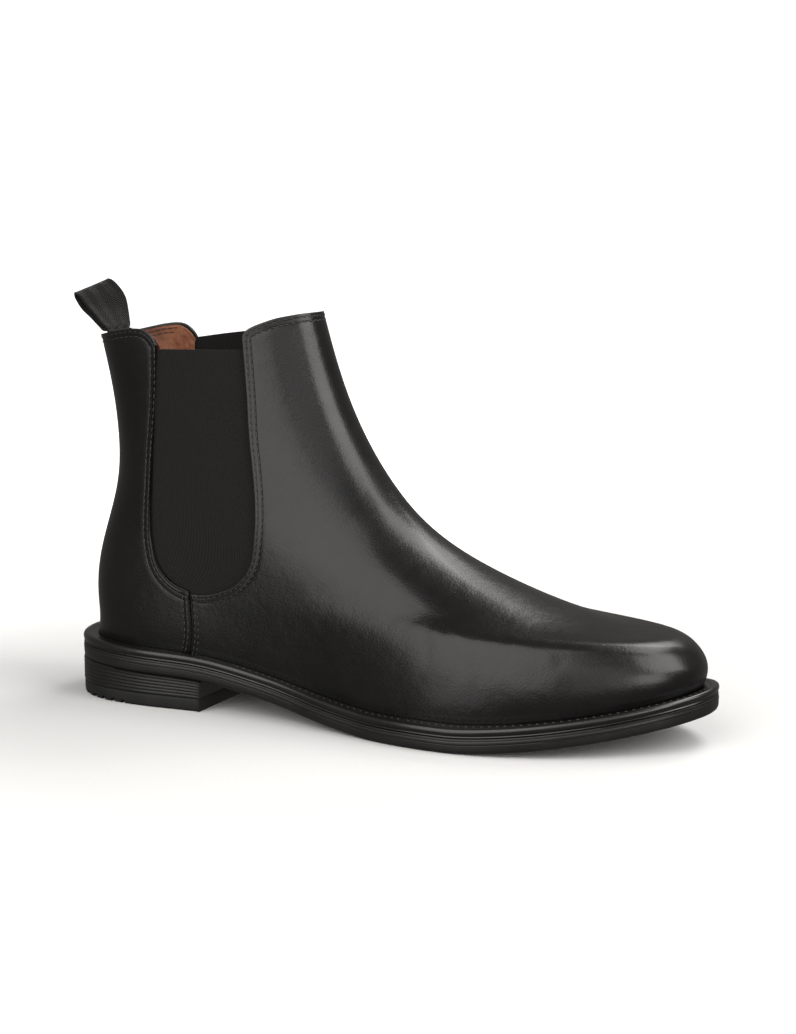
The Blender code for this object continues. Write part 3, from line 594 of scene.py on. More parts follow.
# each crease: (u, v) from its lower to its upper end, depth in millimetres
CREASES = [
    ((0.317, 0.10), (0.349, 0.40), 0.12), ((0.329, 0.13), (0.360, 0.40), 0.14),
    ((0.339, 0.11), (0.368, 0.36), 0.11), ((0.348, 0.15), (0.377, 0.38), 0.09),
    ((0.305, 0.16), (0.336, 0.38), 0.08),
]


def line_points(uv_line):
    """A dense run of surface points along a (u, v) line."""
    uv = through(uv_line, np.linspace(0, 1, 700))
    return last_surface(uv[:, 0], uv[:, 1])


def distance_to(points, cloud):
    tree = KDTree(len(cloud))
    for k, p in enumerate(cloud):
        tree.insert(p, k)
    tree.balance()
    return np.array([tree.find(p)[2] for p in points.reshape(-1, 3)]).reshape(points.shape[:-1])


def crease_relief(u, v):
    """Flex creases behind the ball on both sides: shallow furrows with soft lips."""
    depth = np.zeros(u.shape)
    flipped = np.where(u > 0.5, 1 - u, u)
    for number, ((u0, v0), (u1, v1), strength) in enumerate(CREASES):
        share = (v - v0) / (v1 - v0)
        wave = 0.0035 * np.sin(share * 5.0 + number * 1.7)
        across = (flipped - (u0 + (u1 - u0) * share) - wave) * BALL_ROUND
        fade = smooth_step(share, -0.1, 0.35) * (1 - smooth_step(share, 0.65, 1.1))
        depth -= strength * fade * (
            bell(across, 1.5) - 0.55 * bell(across - 3.2, 2.0) - 0.35 * bell(across + 3.0, 2.0)
        )
    return depth


def leather_relief(points, u, v, edge, seam):
    """Displacement along the normal, in millimetres."""
    ridge = 0.14 * bell(edge - 1.0, 1.0) - 0.12 * bell(edge - 3.0, 1.4)
    seam_dip = -0.30 * bell(seam, 0.7) + 0.08 * bell(seam - 1.9, 0.9)
    valley = -0.26 * bell(distance_to(points, TOE_VALLEY_LINE), 3.4)
    return ridge + seam_dip + valley + crease_relief(u, v)



# %% Panels of calf
def leather_points(u, v, depth):
    """Grid points with the lasting margin's rows below them."""
    points = last_surface(u, v) + depth[..., None] * last_normal(u, v)
    foot = last_surface(u[0], np.zeros(u[0].shape))
    points[0] = foot
    points[0, :, 2] = sole_top(foot[:, 0]) + CLEARANCE
    margin = []
    for reach in (FLANGE, FLANGE * 0.6, FLANGE * 0.2):
        row = foot - reach * level_normal(u[0])
        row[:, 2] = sole_top(row[:, 0]) + CLEARANCE
        margin.append(row)
    return np.vstack([np.array(margin), points])


def leather_piece(name, u, v, free_lines, seam_lines):
    points = last_surface(u, v)
    edge = distance_to(points, np.vstack([line_points(line) for line in free_lines]))
    seam = distance_to(points, np.vstack([line_points(line) for line in seam_lines]))
    shaped = leather_points(u, v, leather_relief(points, u, v, edge, seam))
    piece, row, column = grid_piece(name + "_calf", shaped)
    padded_edge = np.vstack([np.full((3, u.shape[1]), 20.0), np.minimum(edge, seam + 0.5)])
    store(piece, "edge_mm", padded_edge[row, column])
    give_thickness(piece, LEATHER, row, column, 0.42, skip_rows=3)
    finish_piece(piece, "boot", calf, [name])
    return piece


def build_vamp(rows=128, columns=330):
    left = side_edge(GORE_FRONT, 1, rows)
    crest = top_line(np.vstack([FRONT_TOP, mirrored(FRONT_TOP)[-2::-1]]))
    dense = [(0, 0.012, 1.6), (1, 0.012, 1.6), (0.27, 0.05, 0.6), (0.73, 0.05, 0.6)]
    u, v = panel(left, mirrored(left), crest, spread(columns, dense))
    free = [GORE_FRONT, mirrored(GORE_FRONT), np.vstack([FRONT_TOP, mirrored(FRONT_TOP)[-2::-1]])]
    return leather_piece("vamp", u, v, free, [SIDE_SEAM, mirrored(SIDE_SEAM)])


def quarter_grid(rows, columns, start, gore_side=GORE_BACK, top=BACK_TOP):
    right = side_edge(gore_side, -1, rows)
    crest = top_line(top)
    back = np.column_stack([np.full(rows, start), right[:, 1] / right[-1, 1] * crest(start)])
    return panel(back, right, crest, spread(columns, [(1, 0.04, 1.6), (0, 0.03, 0.5)]))


def build_quarters(rows=128, columns=96):
    half_gap = CLEARANCE / 2 / SHAFT_ROUND
    u, v = quarter_grid(rows, columns, half_gap)
    free, seam = [GORE_BACK, BACK_TOP], [SIDE_SEAM]
    leather_piece("quarter_lateral", u, v, free, seam)
    u, v = quarter_grid(rows, columns, half_gap, MEDIAL_GORE_BACK, MEDIAL_TOP)
    free, seam = [mirrored(MEDIAL_GORE_BACK), mirrored(MEDIAL_TOP)], [mirrored(SIDE_SEAM)]
    leather_piece("quarter_medial", 1 - u[:, ::-1], v[:, ::-1], free, seam)


build_vamp()
build_quarters()

# %% [markdown]
# ## The elastic gore
# The gore is a woven elastic web: rubber threads covered in black polyester run up
# and down, so it shows fine upright ribs about a millimetre apart, crossed by a finer weft.
# It looks flat and matt beside the calf. The ribs are real relief on the grid, and the
# weft, too fine to model, is bump. On top of that relief, the colour is painted lighter on
# the rib crests and darker in the hollows between them: a painted highlight and painted
# shade. Its edges are hidden 8 mm under the leather.

# %% Elastic material
def build_elastic():
    material, tree, shader = new_material(
        "black_woven_elastic", IOR=1.5, Specular_IOR_Level=0.25, Sheen_Weight=0.08, Sheen_Roughness=0.5,
    )
    across = add_node(tree, "ShaderNodeAttribute", {"attribute_name": "rib_phase"}).outputs["Fac"]
    up = add_node(tree, "ShaderNodeAttribute", {"attribute_name": "up_mm"}).outputs["Fac"]
    place = add_node(tree, "ShaderNodeTexCoord").outputs["Object"]
    cloud = add_node(
        tree, "ShaderNodeTexNoise", values={"Scale": per_mm(1.6), "Detail": 3.0}, links={"Vector": place}
    )
    angle = add_node(tree, "ShaderNodeMath", {"operation": "MULTIPLY"}, {1: 2 * math.pi / 0.9}, {0: up})
    weft = add_node(tree, "ShaderNodeMath", {"operation": "SINE"}, links={0: angle.outputs[0]})
    ribs = add_node(tree, "ShaderNodeMath", {"operation": "COSINE"}, links={0: across})
    # painted highlight and shade: the colour is lighter on the rib crests and darker in the hollows between
    # them, following the ribs' relief
    rib_crest_painted_light = add_node(
        tree, "ShaderNodeMath", {"operation": "MULTIPLY_ADD"}, {1: 0.22, 2: 0.45}, {0: ribs.outputs[0]}
    )
    mixed = add_node(
        tree, "ShaderNodeMath", {"operation": "MULTIPLY_ADD"}, {1: 0.35}, {
            0: cloud.outputs["Fac"], 2: rib_crest_painted_light.outputs[0]
        }
    )
    colour = ramp(tree, mixed.outputs[0], [(0.25, "#100f0f"), (0.65, "#191817"), (0.95, "#232120")], "LINEAR")
    tree.links.new(colour, shader.inputs["Base Color"])
    rough = add_node(
        tree, "ShaderNodeMapRange", values={"To Min": 0.72, "To Max": 0.88},
        links={"Value": cloud.outputs["Fac"]},
    )
    tree.links.new(rough.outputs["Result"], shader.inputs["Roughness"])
    thread = add_node(
        tree, "ShaderNodeBump", values={"Strength": 0.5, "Distance": 0.05 * MM},
        links={"Height": weft.outputs[0]},
    )
    fuzz = add_node(
        tree, "ShaderNodeBump", values={"Strength": 0.5, "Distance": 0.08 * MM},
        links={"Height": cloud.outputs["Fac"], "Normal": thread.outputs["Normal"]},
    )
    tree.links.new(fuzz.outputs["Normal"], shader.inputs["Normal"])
    return material


elastic = build_elastic()
print("material", elastic.name)


# %% Gores
def gore_outline(gore_side, top):
    """Left, bottom and right edges of the elastic, 8 mm outside the visible window."""
    back, front = through(gore_side, np.linspace(0, 1, 60)), through(GORE_FRONT, np.linspace(0, 1, 70))
    edge = np.vstack([back[::-1], front[1:]])
    place = last_surface(edge[:, 0], edge[:, 1])
    outward = unit(np.cross(np.gradient(place, axis=0), last_normal(edge[:, 0], edge[:, 1])))
    if outward[60, 2] > 0:
        outward = -outward
    edge = slide(edge, outward * GORE_MARGIN)
    crest = top_line(top)
    edge = edge[edge[:, 1] < crest(edge[:, 0])]
    first = np.argmin(edge[:, 1]) - 17
    last = first + 34
    left, right = edge[: first + 1][::-1], edge[last:]
    left = np.vstack([left, [left[-1, 0] + 0.001, crest(left[-1, 0])]])
    right = np.vstack([right, [right[-1, 0] + 0.001, crest(right[-1, 0])]])
    return left, edge[first: last + 1], right, crest


def gore_grid(columns, rows, gore_side, top):
    """Four-sided patch: the two sides, the round bottom and the top line."""
    left, bottom, right, crest = gore_outline(gore_side, top)
    up = np.linspace(0, 1, rows)
    across = np.linspace(0, 1, columns)
    left, right, bottom = through(left, up), through(right, up), through(bottom, across)
    high = np.column_stack([left[-1, 0] * (1 - across) + right[-1, 0] * across, across])
    high[:, 1] = crest(high[:, 0])
    s, t = across[None, :, None], up[:, None, None]
    corners = (
        1 - s
    ) * (1 - t) * bottom[0] + s * (1 - t) * bottom[-1] + (1 - s) * t * high[0] + s * t * high[-1]
    grid = (1 - t) * bottom[None] + t * high[None] + (1 - s) * left[:, None] + s * right[:, None] - corners
    return grid[..., 0], grid[..., 1]


RIBS = 70
RIB_COLUMNS = 4
GORE_DEPTH = 1.85
ELASTIC_THICK = 1.05


def build_gore(name, flip, gore_side, top):
    columns = RIBS * RIB_COLUMNS + 1
    u, v = gore_grid(columns, 76, gore_side, top)
    if flip:
        u, v = 1 - u[:, ::-1], v[:, ::-1]
    phase = np.broadcast_to(np.arange(columns) / RIB_COLUMNS * 2 * np.pi, u.shape)
    rib = 0.09 * np.cos(phase)
    sag = 0.25 * np.sin(
        np.linspace(0, np.pi, u.shape[0])
    )[:, None] * np.sin(np.linspace(0, np.pi, columns))[None]
    shaped = last_surface(u, v) - (GORE_DEPTH + 0.1 - rib + sag * 0.3)[..., None] * last_normal(u, v)
    piece, row, column = grid_piece(name + "_elastic", shaped)
    height = np.concatenate(
        [[0], np.cumsum(np.linalg.norm(np.diff(shaped[:, columns // 2], axis=0), axis=1))]
    )
    store(piece, "rib_phase", phase[row, column])
    store(piece, "up_mm", height[row])
    give_thickness(piece, ELASTIC_THICK - 0.15, row, column, 0.3)
    finish_piece(piece, "boot", elastic, [name])


build_gore("gore_lateral", False, GORE_BACK, GORE_TOP)
build_gore("gore_medial", True, MEDIAL_GORE_BACK, MEDIAL_GORE_TOP)

# %% [markdown]
# ## Linings
# The boot is lined with tan calf: unglazed, softer and warmer, with fine wrinkles and
# darker marks where it has been handled. It shows at the mouth, behind the top edges
# and through the gap over the gores. The lining hugs the outer leather along the top
# edge, where the two are sewn together, and stands off at the gores and the pull tab,
# which are sewn in between them.

# %% Lining leather
def build_lining_leather(name, dark, light):
    material, tree, shader = new_material(name, IOR=1.5, Specular_IOR_Level=0.35)
    place = add_node(tree, "ShaderNodeTexCoord").outputs["Object"]
    cloud = add_node(
        tree, "ShaderNodeTexNoise", values={"Scale": per_mm(16), "Detail": 5.0}, links={"Vector": place}
    )
    grain = add_node(
        tree, "ShaderNodeTexVoronoi", {"feature": "DISTANCE_TO_EDGE"},
        {"Scale": per_mm(1.3)}, {"Vector": place},
    )
    veins = add_node(
        tree, "ShaderNodeTexNoise", values={"Scale": per_mm(3.2), "Detail": 4.0}, links={"Vector": place}
    )
    colour = ramp(tree, cloud.outputs["Fac"], [(0.3, dark), (0.7, light)])
    tree.links.new(colour, shader.inputs["Base Color"])
    rough = add_node(
        tree, "ShaderNodeMapRange", values={"To Min": 0.5, "To Max": 0.68},
        links={"Value": veins.outputs["Fac"]},
    )
    tree.links.new(rough.outputs["Result"], shader.inputs["Roughness"])
    wrinkle = add_node(
        tree, "ShaderNodeBump", values={"Strength": 0.9, "Distance": 0.9 * MM},
        links={"Height": veins.outputs["Fac"]},
    )
    cells = add_node(
        tree, "ShaderNodeBump", values={"Strength": 0.45, "Distance": 0.1 * MM},
        links={"Height": grain.outputs["Distance"], "Normal": wrinkle.outputs["Normal"]},
    )
    tree.links.new(cells.outputs["Normal"], shader.inputs["Normal"])
    return material


tan_lining = build_lining_leather("tan_vegetable_calf_lining", "#633a26", "#8f5a3e")
sock_leather = build_lining_leather("tan_sock_leather", "#593726", "#704631")
print("materials", tan_lining.name, sock_leather.name)

# %% Lining panels
LINING_DEPTH = 3.2
SEWN_DEPTH = 1.5
GORE_SIDE_DEPTH = 3.0
LINING_LOWER = 1.3


def lining_points(u, v, crest):
    """Lining depth: hard against the leather at the top edge, further in at gores and tab."""
    points = last_surface(u, v)
    top = np.abs(points[..., 2] - last_surface(u, crest(u))[..., 2])
    gore = distance_to(points, np.vstack([line_points(line) for line in (
        GORE_FRONT, GORE_BACK, mirrored(GORE_FRONT), mirrored(MEDIAL_GORE_BACK))]))
    near_back = np.minimum(u % 1.0, 1 - u % 1.0)
    free = smooth_step(gore, GORE_MARGIN + 0.5, GORE_MARGIN + 5) * smooth_step(near_back, 0.045, 0.07)
    near_top = 1 - smooth_step(top, 3.0, 13.0)
    depth = LINING_DEPTH - near_top * (
        (LINING_DEPTH - SEWN_DEPTH) * free + (LINING_DEPTH - GORE_SIDE_DEPTH) * (1 - free)
    )
    wrinkles = np.array(
        [noise.noise(Vector(p) * 0.16) for p in points.reshape(-1, 3).tolist()]
    ).reshape(u.shape)
    folds = np.array(
        [noise.noise(Vector((p[0] * 0.35, p[1] * 0.35, p[2] * 0.10))) for p in points.reshape(-1, 3).tolist()]
    )
    depth = depth + smooth_step(top, 2.5, 9) * (
        0.35 * np.abs(wrinkles) + 0.45 * np.abs(folds.reshape(u.shape))
    )
    shaped = points - depth[..., None] * last_normal(u, v)
    shaped[..., 2] -= LINING_LOWER * (1 - smooth_step(top, 0.0, 6.0))
    foot = last_surface(u[0], np.zeros(u[0].shape)) - LINING_DEPTH * level_normal(u[0])
    foot[:, 2] = sole_top(foot[:, 0]) + 2.0
    shaped[0] = foot
    inner = last_surface(u[0], np.zeros(u[0].shape)) - FLANGE * level_normal(u[0])
    inner[:, 2] = sole_top(inner[:, 0]) + 2.0
    return np.vstack([inner[None], shaped])


def build_linings():
    rows = 96
    left = side_edge(GORE_FRONT, 1, rows)
    crest = top_line(np.vstack([FRONT_TOP, mirrored(FRONT_TOP)[-2::-1]]))
    u, v = panel(left, mirrored(left), crest, spread(150, [(0, 0.02, 1.5), (1, 0.02, 1.5)]))
    piece, row, column = grid_piece("vamp_lining_calf", lining_points(u, v, crest))
    give_thickness(piece, LINING, row, column, 0.3, skip_rows=2)
    finish_piece(piece, "boot", tan_lining, ["vamp_lining"])
    u, v = quarter_grid(rows, 90, 0.0)
    far_u, far_v = quarter_grid(rows, 90, 0.0, MEDIAL_GORE_BACK, MEDIAL_TOP)
    u, v = np.hstack([-far_u[:, :0:-1], u]), np.hstack([far_v[:, :0:-1], v])
    near_crest, far_crest = top_line(BACK_TOP), top_line(MEDIAL_TOP)
    shaped = lining_points(u, v, lambda t: np.where(t < 0, far_crest(-t), near_crest(t)))
    piece, row, column = grid_piece("quarter_lining_calf", shaped)
    give_thickness(piece, LINING, row, column, 0.3, skip_rows=2)
    finish_piece(piece, "boot", tan_lining, ["quarter_lining"])


build_linings()

# %% [markdown]
# ## Back strip
# A narrow strip of the same calf covers the back seam from the welt to the top. It is
# skived thin at its sides, so its section is crowned, and it is sewn down near both
# sides.

# %% Back strip
STRIP_HALF_WIDTH = 4.5


def build_back_strip(rows=110, columns=15):
    foot = last_surface(0.0, 0.0)
    low = float(v_at_height(np.array([0.0]), sole_top(foot[0]) + 4.4)[0])
    v = np.linspace(low, float(top_line(BACK_TOP)(0.0)), rows)
    across = spread(columns, [(0, 0.1, 1.0), (1, 0.1, 1.0)]) * 2 - 1
    u = np.zeros((rows, columns))
    for k in range(rows):
        near = np.linspace(-0.06, 0.06, 61)
        run = last_surface(near, np.full(61, v[k]))
        span = np.concatenate([[0], np.cumsum(np.linalg.norm(np.diff(run, axis=0), axis=1))])
        u[k] = np.interp(across * STRIP_HALF_WIDTH, span - np.interp(0, near, span), near)
    grid_v = np.repeat(v[:, None], columns, axis=1)
    edge = (1 - np.abs(across)) * STRIP_HALF_WIDTH
    crown = 0.75 + 0.55 * smooth_step(edge, 0, 1.2) - 0.12 * bell(edge - 1.5, 0.5)
    shaped = last_surface(u, grid_v) + np.broadcast_to(crown, u.shape)[..., None] * last_normal(u, grid_v)
    piece, row, column = grid_piece("back_strip_calf", shaped)
    store(piece, "edge_mm", np.broadcast_to(edge, u.shape)[row, column])
    give_thickness(piece, 0.8, row, column, 0.25)
    finish_piece(piece, "boot", calf, ["back_strip"])


build_back_strip()

# %% [markdown]
# ## Stitches
# The panels are sewn with waxed black polyester at eight or nine stitches to the inch,
# in two rows, 1.5 and 3.7 mm inside the free edges. One stitch is modelled as a
# six-sided grain of thread with its ends bent down into the leather, then copied
# along each row by the same distance, so every stitch has a few dozen faces.

# %% Thread
def build_thread(name, dark, light):
    material, tree, shader = new_material(name, IOR=1.55, Specular_IOR_Level=0.5)
    place = add_node(tree, "ShaderNodeTexCoord").outputs["Object"]
    fibre = add_node(
        tree, "ShaderNodeTexNoise", values={"Scale": per_mm(0.5), "Detail": 2.0}, links={"Vector": place}
    )
    tree.links.new(
        ramp(tree, fibre.outputs["Fac"], [(0.35, dark), (0.65, light)]), shader.inputs["Base Color"]
    )
    rough = add_node(
        tree, "ShaderNodeMapRange", values={"To Min": 0.4, "To Max": 0.6}, links={
            "Value": fibre.outputs["Fac"]
        }
    )
    tree.links.new(rough.outputs["Result"], shader.inputs["Roughness"])
    twist = add_node(
        tree, "ShaderNodeBump", values={"Strength": 0.6, "Distance": 0.06 * MM},
        links={"Height": fibre.outputs["Fac"]},
    )
    tree.links.new(twist.outputs["Normal"], shader.inputs["Normal"])
    return material


black_thread = build_thread("black_waxed_polyester_thread", "#211e1d", "#3a3634")
tan_thread = build_thread("dark_brown_waxed_thread", "#2a1b14", "#3d281d")


# %% One stitch, copied along a row
def one_stitch(length, radius):
    """A short six-sided cylinder, its rings bent down towards both ends."""
    piece = new_primitive(
        "stitch", bpy.ops.mesh.primitive_cylinder_add, vertices=6, radius=radius, depth=length,
        rotation=(0, math.pi / 2, 0), end_fill_type="TRIFAN",
    )
    bpy.ops.object.transform_apply(rotation=True)
    bpy.ops.object.mode_set(mode="EDIT")
    bpy.ops.mesh.select_all(action="SELECT")
    for cut in (-0.28, 0.0, 0.28):
        bpy.ops.mesh.select_all(action="SELECT")
        bpy.ops.mesh.bisect(plane_co=(cut * length, 0, 0), plane_no=(1, 0, 0))
    bpy.ops.object.mode_set(mode="OBJECT")
    points = np.array([v.co for v in piece.data.vertices])
    share = np.abs(points[:, 0]) / (length / 2)
    points[:, 1:] *= (1 - 0.55 * share**3)[:, None]
    points[:, 2] -= radius * 1.3 * share**2.5
    faces = [tuple(face.vertices) for face in piece.data.polygons]
    bpy.data.objects.remove(piece)
    return points, faces


def offset_line(uv_line, inward, sign):
    """A seam line moved over the surface by a distance, then evened out."""
    uv = through(uv_line, np.linspace(0, 1, 500))
    place = last_surface(uv[:, 0], uv[:, 1])
    side = unit(np.cross(last_normal(uv[:, 0], uv[:, 1]), np.gradient(place, axis=0))) * sign
    kernel = np.ones(21) / 21
    ends = np.pad(side, ((10, 10), (0, 0)), mode="edge")
    side = unit(np.column_stack([np.convolve(ends[:, k], kernel, "valid") for k in range(3)]))
    return slide(uv, side * inward)


def stitch_row(places, normals, pitch, stitch):
    """Copies of one stitch along a line of points."""
    shape, faces = stitch
    run = np.concatenate([[0], np.cumsum(np.linalg.norm(np.diff(places, axis=0), axis=1))])
    count = max(int(run[-1] / pitch), 1)
    at = (np.arange(count) + 0.5) * run[-1] / count
    centre = np.column_stack([np.interp(at, run, places[:, k]) for k in range(3)])
    ahead = np.column_stack([np.interp(at + 0.4, run, places[:, k]) for k in range(3)])
    behind = np.column_stack([np.interp(at - 0.4, run, places[:, k]) for k in range(3)])
    along = unit(ahead - behind)
    up = unit(np.column_stack([np.interp(at, run, normals[:, k]) for k in range(3)]))
    side = unit(np.cross(up, along))
    up = np.cross(along, side)
    points = (
        centre[:, None] + shape[None, :, :1] * along[:, None] + shape[None, :, 1:2] * side[:, None]
        + shape[None, :, 2:] * up[:, None]
    )
    all_faces = [tuple(i + k * len(shape) for i in face) for k in range(count) for face in faces]
    return points.reshape(-1, 3), all_faces


def stitched_piece(name, rows, material):
    """All the stitches of a seam as one mesh."""
    points, faces = [], []
    for row_points, row_faces in rows:
        start = sum(len(p) for p in points)
        points.append(row_points)
        faces += [tuple(i + start for i in face) for face in row_faces]
    mesh = bpy.data.meshes.new(name)
    mesh.from_pydata(placed(np.vstack(points)).tolist(), [], faces)
    piece = bpy.data.objects.new(name, mesh)
    bpy.context.scene.collection.objects.link(piece)
    finish_piece(piece, "boot", material)


UPPER_STITCH = one_stitch(2.5, 0.26)
STITCH_PITCH = 3.0


def seam_stitches(uv_line, inward, sign, lift, stitch=UPPER_STITCH, pitch=STITCH_PITCH, trim=0.0):
    uv = offset_line(uv_line, inward, sign)
    if trim:
        uv = uv[int(len(uv) * trim):]
    normal = last_normal(uv[:, 0], uv[:, 1])
    return stitch_row(last_surface(uv[:, 0], uv[:, 1]) + lift * normal, normal, pitch, stitch)


# %% Rows on vamp, quarters and back strip
def build_upper_stitches():
    front = np.vstack([GORE_FRONT, FRONT_TOP[1:]])
    vamp_rows, quarter_rows, lining_rows = [], [], []
    for medial in (False, True):
        turn = mirrored if medial else np.asarray
        flip = -1 if medial else 1
        gore_side, top = (MEDIAL_GORE_BACK, MEDIAL_TOP) if medial else (GORE_BACK, BACK_TOP)
        back = np.vstack([gore_side, top[-2::-1]])
        for inward in STITCH_ROWS:
            vamp_rows.append(seam_stitches(turn(front), inward, -flip, 0.10, trim=0.03))
            quarter_rows.append(seam_stitches(turn(back), inward, flip, 0.10, trim=0.03))
        for inward in (1.8, 3.6):
            vamp_rows.append(seam_stitches(turn(SIDE_SEAM), inward, -flip, 0.16))
            quarter_rows.append(seam_stitches(turn(SIDE_SEAM), inward, flip, 0.16))
        for line, sign in ((FRONT_TOP, -flip), (top, -flip)):
            for inward in (2.6, 4.6):
                lining_rows.append(seam_stitches(turn(line), inward, sign, -(SEWN_DEPTH + LINING + 0.12)))
    stitched_piece("vamp_stitches", vamp_rows, black_thread)
    stitched_piece("quarter_stitches", quarter_rows, black_thread)
    stitched_piece("lining_stitches", lining_rows, tan_thread)


build_upper_stitches()


# %% Rows on the back strip
def build_strip_stitches():
    v = np.linspace(0.12, float(top_line(BACK_TOP)(0.0)) - 0.008, 300)
    rows = []
    for side in (-1, 1):
        u = np.zeros(300)
        step = np.zeros((300, 3))
        step[:, 1] = side * (STRIP_HALF_WIDTH - 1.5)
        uv = slide(np.column_stack([u, v]), step)
        normal = last_normal(uv[:, 0], uv[:, 1])
        rows.append(
            stitch_row(last_surface(uv[:, 0], uv[:, 1]) + 1.22 * normal, normal, STITCH_PITCH, UPPER_STITCH)
        )
    stitched_piece("back_strip_stitches", rows, black_thread)


build_strip_stitches()

# %% [markdown]
# ## Rubber finishes
# The bottom is three grades of moulded black rubber. The welt is glossy, as it comes
# from a polished mould. The outsole and the heel are buffed and lacquered, so they are
# smooth with faint runs along the edge. The top piece is plain vulcanised rubber, more
# matt and dusty where it meets the ground.

# %% Rubber materials
def build_rubber(name, dark, light, rough_low, rough_high, run_size, coat):
    material, tree, shader = new_material(
        name, IOR=1.52, Specular_IOR_Level=0.5, Coat_Weight=coat, Coat_Roughness=0.18, Coat_IOR=1.5,
    )
    place = add_node(tree, "ShaderNodeTexCoord").outputs["Object"]
    stretch = add_node(
        tree, "ShaderNodeMapping", {"vector_type": "POINT"}, {"Scale": (0.25, 0.25, 1.0)}, {"Vector": place}
    ).outputs["Vector"]
    runs = add_node(
        tree, "ShaderNodeTexNoise", values={"Scale": per_mm(run_size), "Detail": 4.0},
        links={"Vector": stretch}
    )
    dust = add_node(
        tree, "ShaderNodeTexNoise", values={"Scale": per_mm(12), "Detail": 4.0}, links={"Vector": place}
    )
    fine = add_node(
        tree, "ShaderNodeTexNoise", values={"Scale": per_mm(0.6), "Detail": 2.0}, links={"Vector": place}
    )
    tree.links.new(
        ramp(tree, dust.outputs["Fac"], [(0.35, dark), (0.68, light)]), shader.inputs["Base Color"]
    )
    rough = add_node(
        tree, "ShaderNodeMapRange", values={"To Min": rough_low, "To Max": rough_high},
        links={"Value": runs.outputs["Fac"]},
    )
    tree.links.new(rough.outputs["Result"], shader.inputs["Roughness"])
    drawn = add_node(
        tree, "ShaderNodeBump", values={"Strength": 0.35, "Distance": 0.12 * MM},
        links={"Height": runs.outputs["Fac"]},
    )
    skin = add_node(
        tree, "ShaderNodeBump", values={"Strength": 0.35, "Distance": 0.04 * MM},
        links={"Height": fine.outputs["Fac"], "Normal": drawn.outputs["Normal"]},
    )
    tree.links.new(skin.outputs["Normal"], shader.inputs["Normal"])
    return material


welt_rubber = build_rubber("glossy_moulded_welt_rubber", "#0e0d0c", "#161413", 0.24, 0.36, 1.6, 0.45)
sole_rubber = build_rubber("buffed_black_outsole_rubber", "#110f0f", "#191716", 0.36, 0.5, 1.2, 0.12)
heel_rubber = build_rubber("lacquered_heel_rubber", "#0b0a0a", "#121010", 0.36, 0.48, 1.0, 0.12)
tread_rubber = build_rubber("vulcanised_top_piece_rubber", "#0c0b0b", "#151313", 0.55, 0.72, 0.9, 0.0)

# %% [markdown]
# ## Slabs of the sole
# Outsole, heel, top piece and sock are all slabs with the same kind of outline. A UV
# sphere is a good start for them: it is closed and has one pole on each flat side.
# Each of its rings is moved to one level of the slab, those near the poles to rings
# inside the bottom and top faces, and the rest down the moulded edge.

# %% Slab from a sphere
INNER_SHARES = (0.08, 0.2, 0.32, 0.44, 0.56, 0.67, 0.77, 0.86, 0.93, 0.975)


def slab_piece(name, loop, levels, centre):
    """levels: (inset over x, height over x) pairs from the bottom edge to the top edge."""
    count = len(loop)
    heights = [levels[0][1]] * len(INNER_SHARES) + [
        h for _, h in levels
    ] + [levels[-1][1]] * len(INNER_SHARES)
    edges = [drawn_in(loop, inset) for inset, _ in levels]
    loops = [centre + (edges[0] - centre) * share for share in INNER_SHARES] + edges
    loops += [centre + (edges[-1] - centre) * share for share in INNER_SHARES[::-1]]
    rings = len(loops)
    piece = new_primitive(
        name, bpy.ops.mesh.primitive_uv_sphere_add, segments=count, ring_count=rings + 1, radius=1
    )
    ball = np.array([v.co for v in piece.data.vertices])
    level = np.round((1 - np.arccos(np.clip(ball[:, 2], -1, 1)) / np.pi) * (rings + 1)).astype(int) - 1
    turn = np.round(np.arctan2(ball[:, 1], ball[:, 0]) / (2 * np.pi) * count).astype(int) % count
    points = np.zeros((len(ball), 3))
    for k in range(len(ball)):
        if 0 <= level[k] < rings:
            place, height = loops[level[k]][turn[k]], heights[level[k]]
        else:
            place, height = centre, heights[0] if level[k] < 0 else heights[-1]
        points[k] = (*place, float(height(place[0])))
    move_points(piece, points)
    recalculate(piece)
    return piece


def recalculate(piece):
    bpy.context.view_layer.objects.active = piece
    bpy.ops.object.mode_set(mode="EDIT")
    bpy.ops.mesh.select_all(action="SELECT")
    bpy.ops.mesh.normals_make_consistent(inside=False)
    bpy.ops.object.mode_set(mode="OBJECT")


def drawn_in(loop, distance):
    """A level loop moved inwards by a distance, which may differ along x."""
    run = np.roll(loop, -1, axis=0) - np.roll(loop, 1, axis=0)
    inward = unit(np.column_stack([-run[:, 1], run[:, 0]]))
    if ((loop.mean(axis=0) - loop) * inward).sum() < 0:
        inward = -inward
    inset = distance(loop[:, 0]) if callable(distance) else distance
    return loop + np.reshape(inset, (-1, 1)) * inward


def over(base, rise):
    return lambda x: base(x) + rise


def sole_loop(count):
    """The outline at even steps along its length."""
    fine = spline_through(OUTLINE, closed=True)(np.linspace(0, 1, 4001))
    run = np.concatenate([[0], np.cumsum(np.linalg.norm(np.diff(fine, axis=0), axis=1))])
    even = np.arange(count) / count * run[-1]
    return np.column_stack([np.interp(even, run, fine[:, 0]), np.interp(even, run, fine[:, 1])])


# %% [markdown]
# ## Outsole
# The edge of the outsole has a small step two fifths of the way up, where the two
# halves of its mould meet, and a thin layer above a groove under the welt. Its lower
# corner is rounded off.

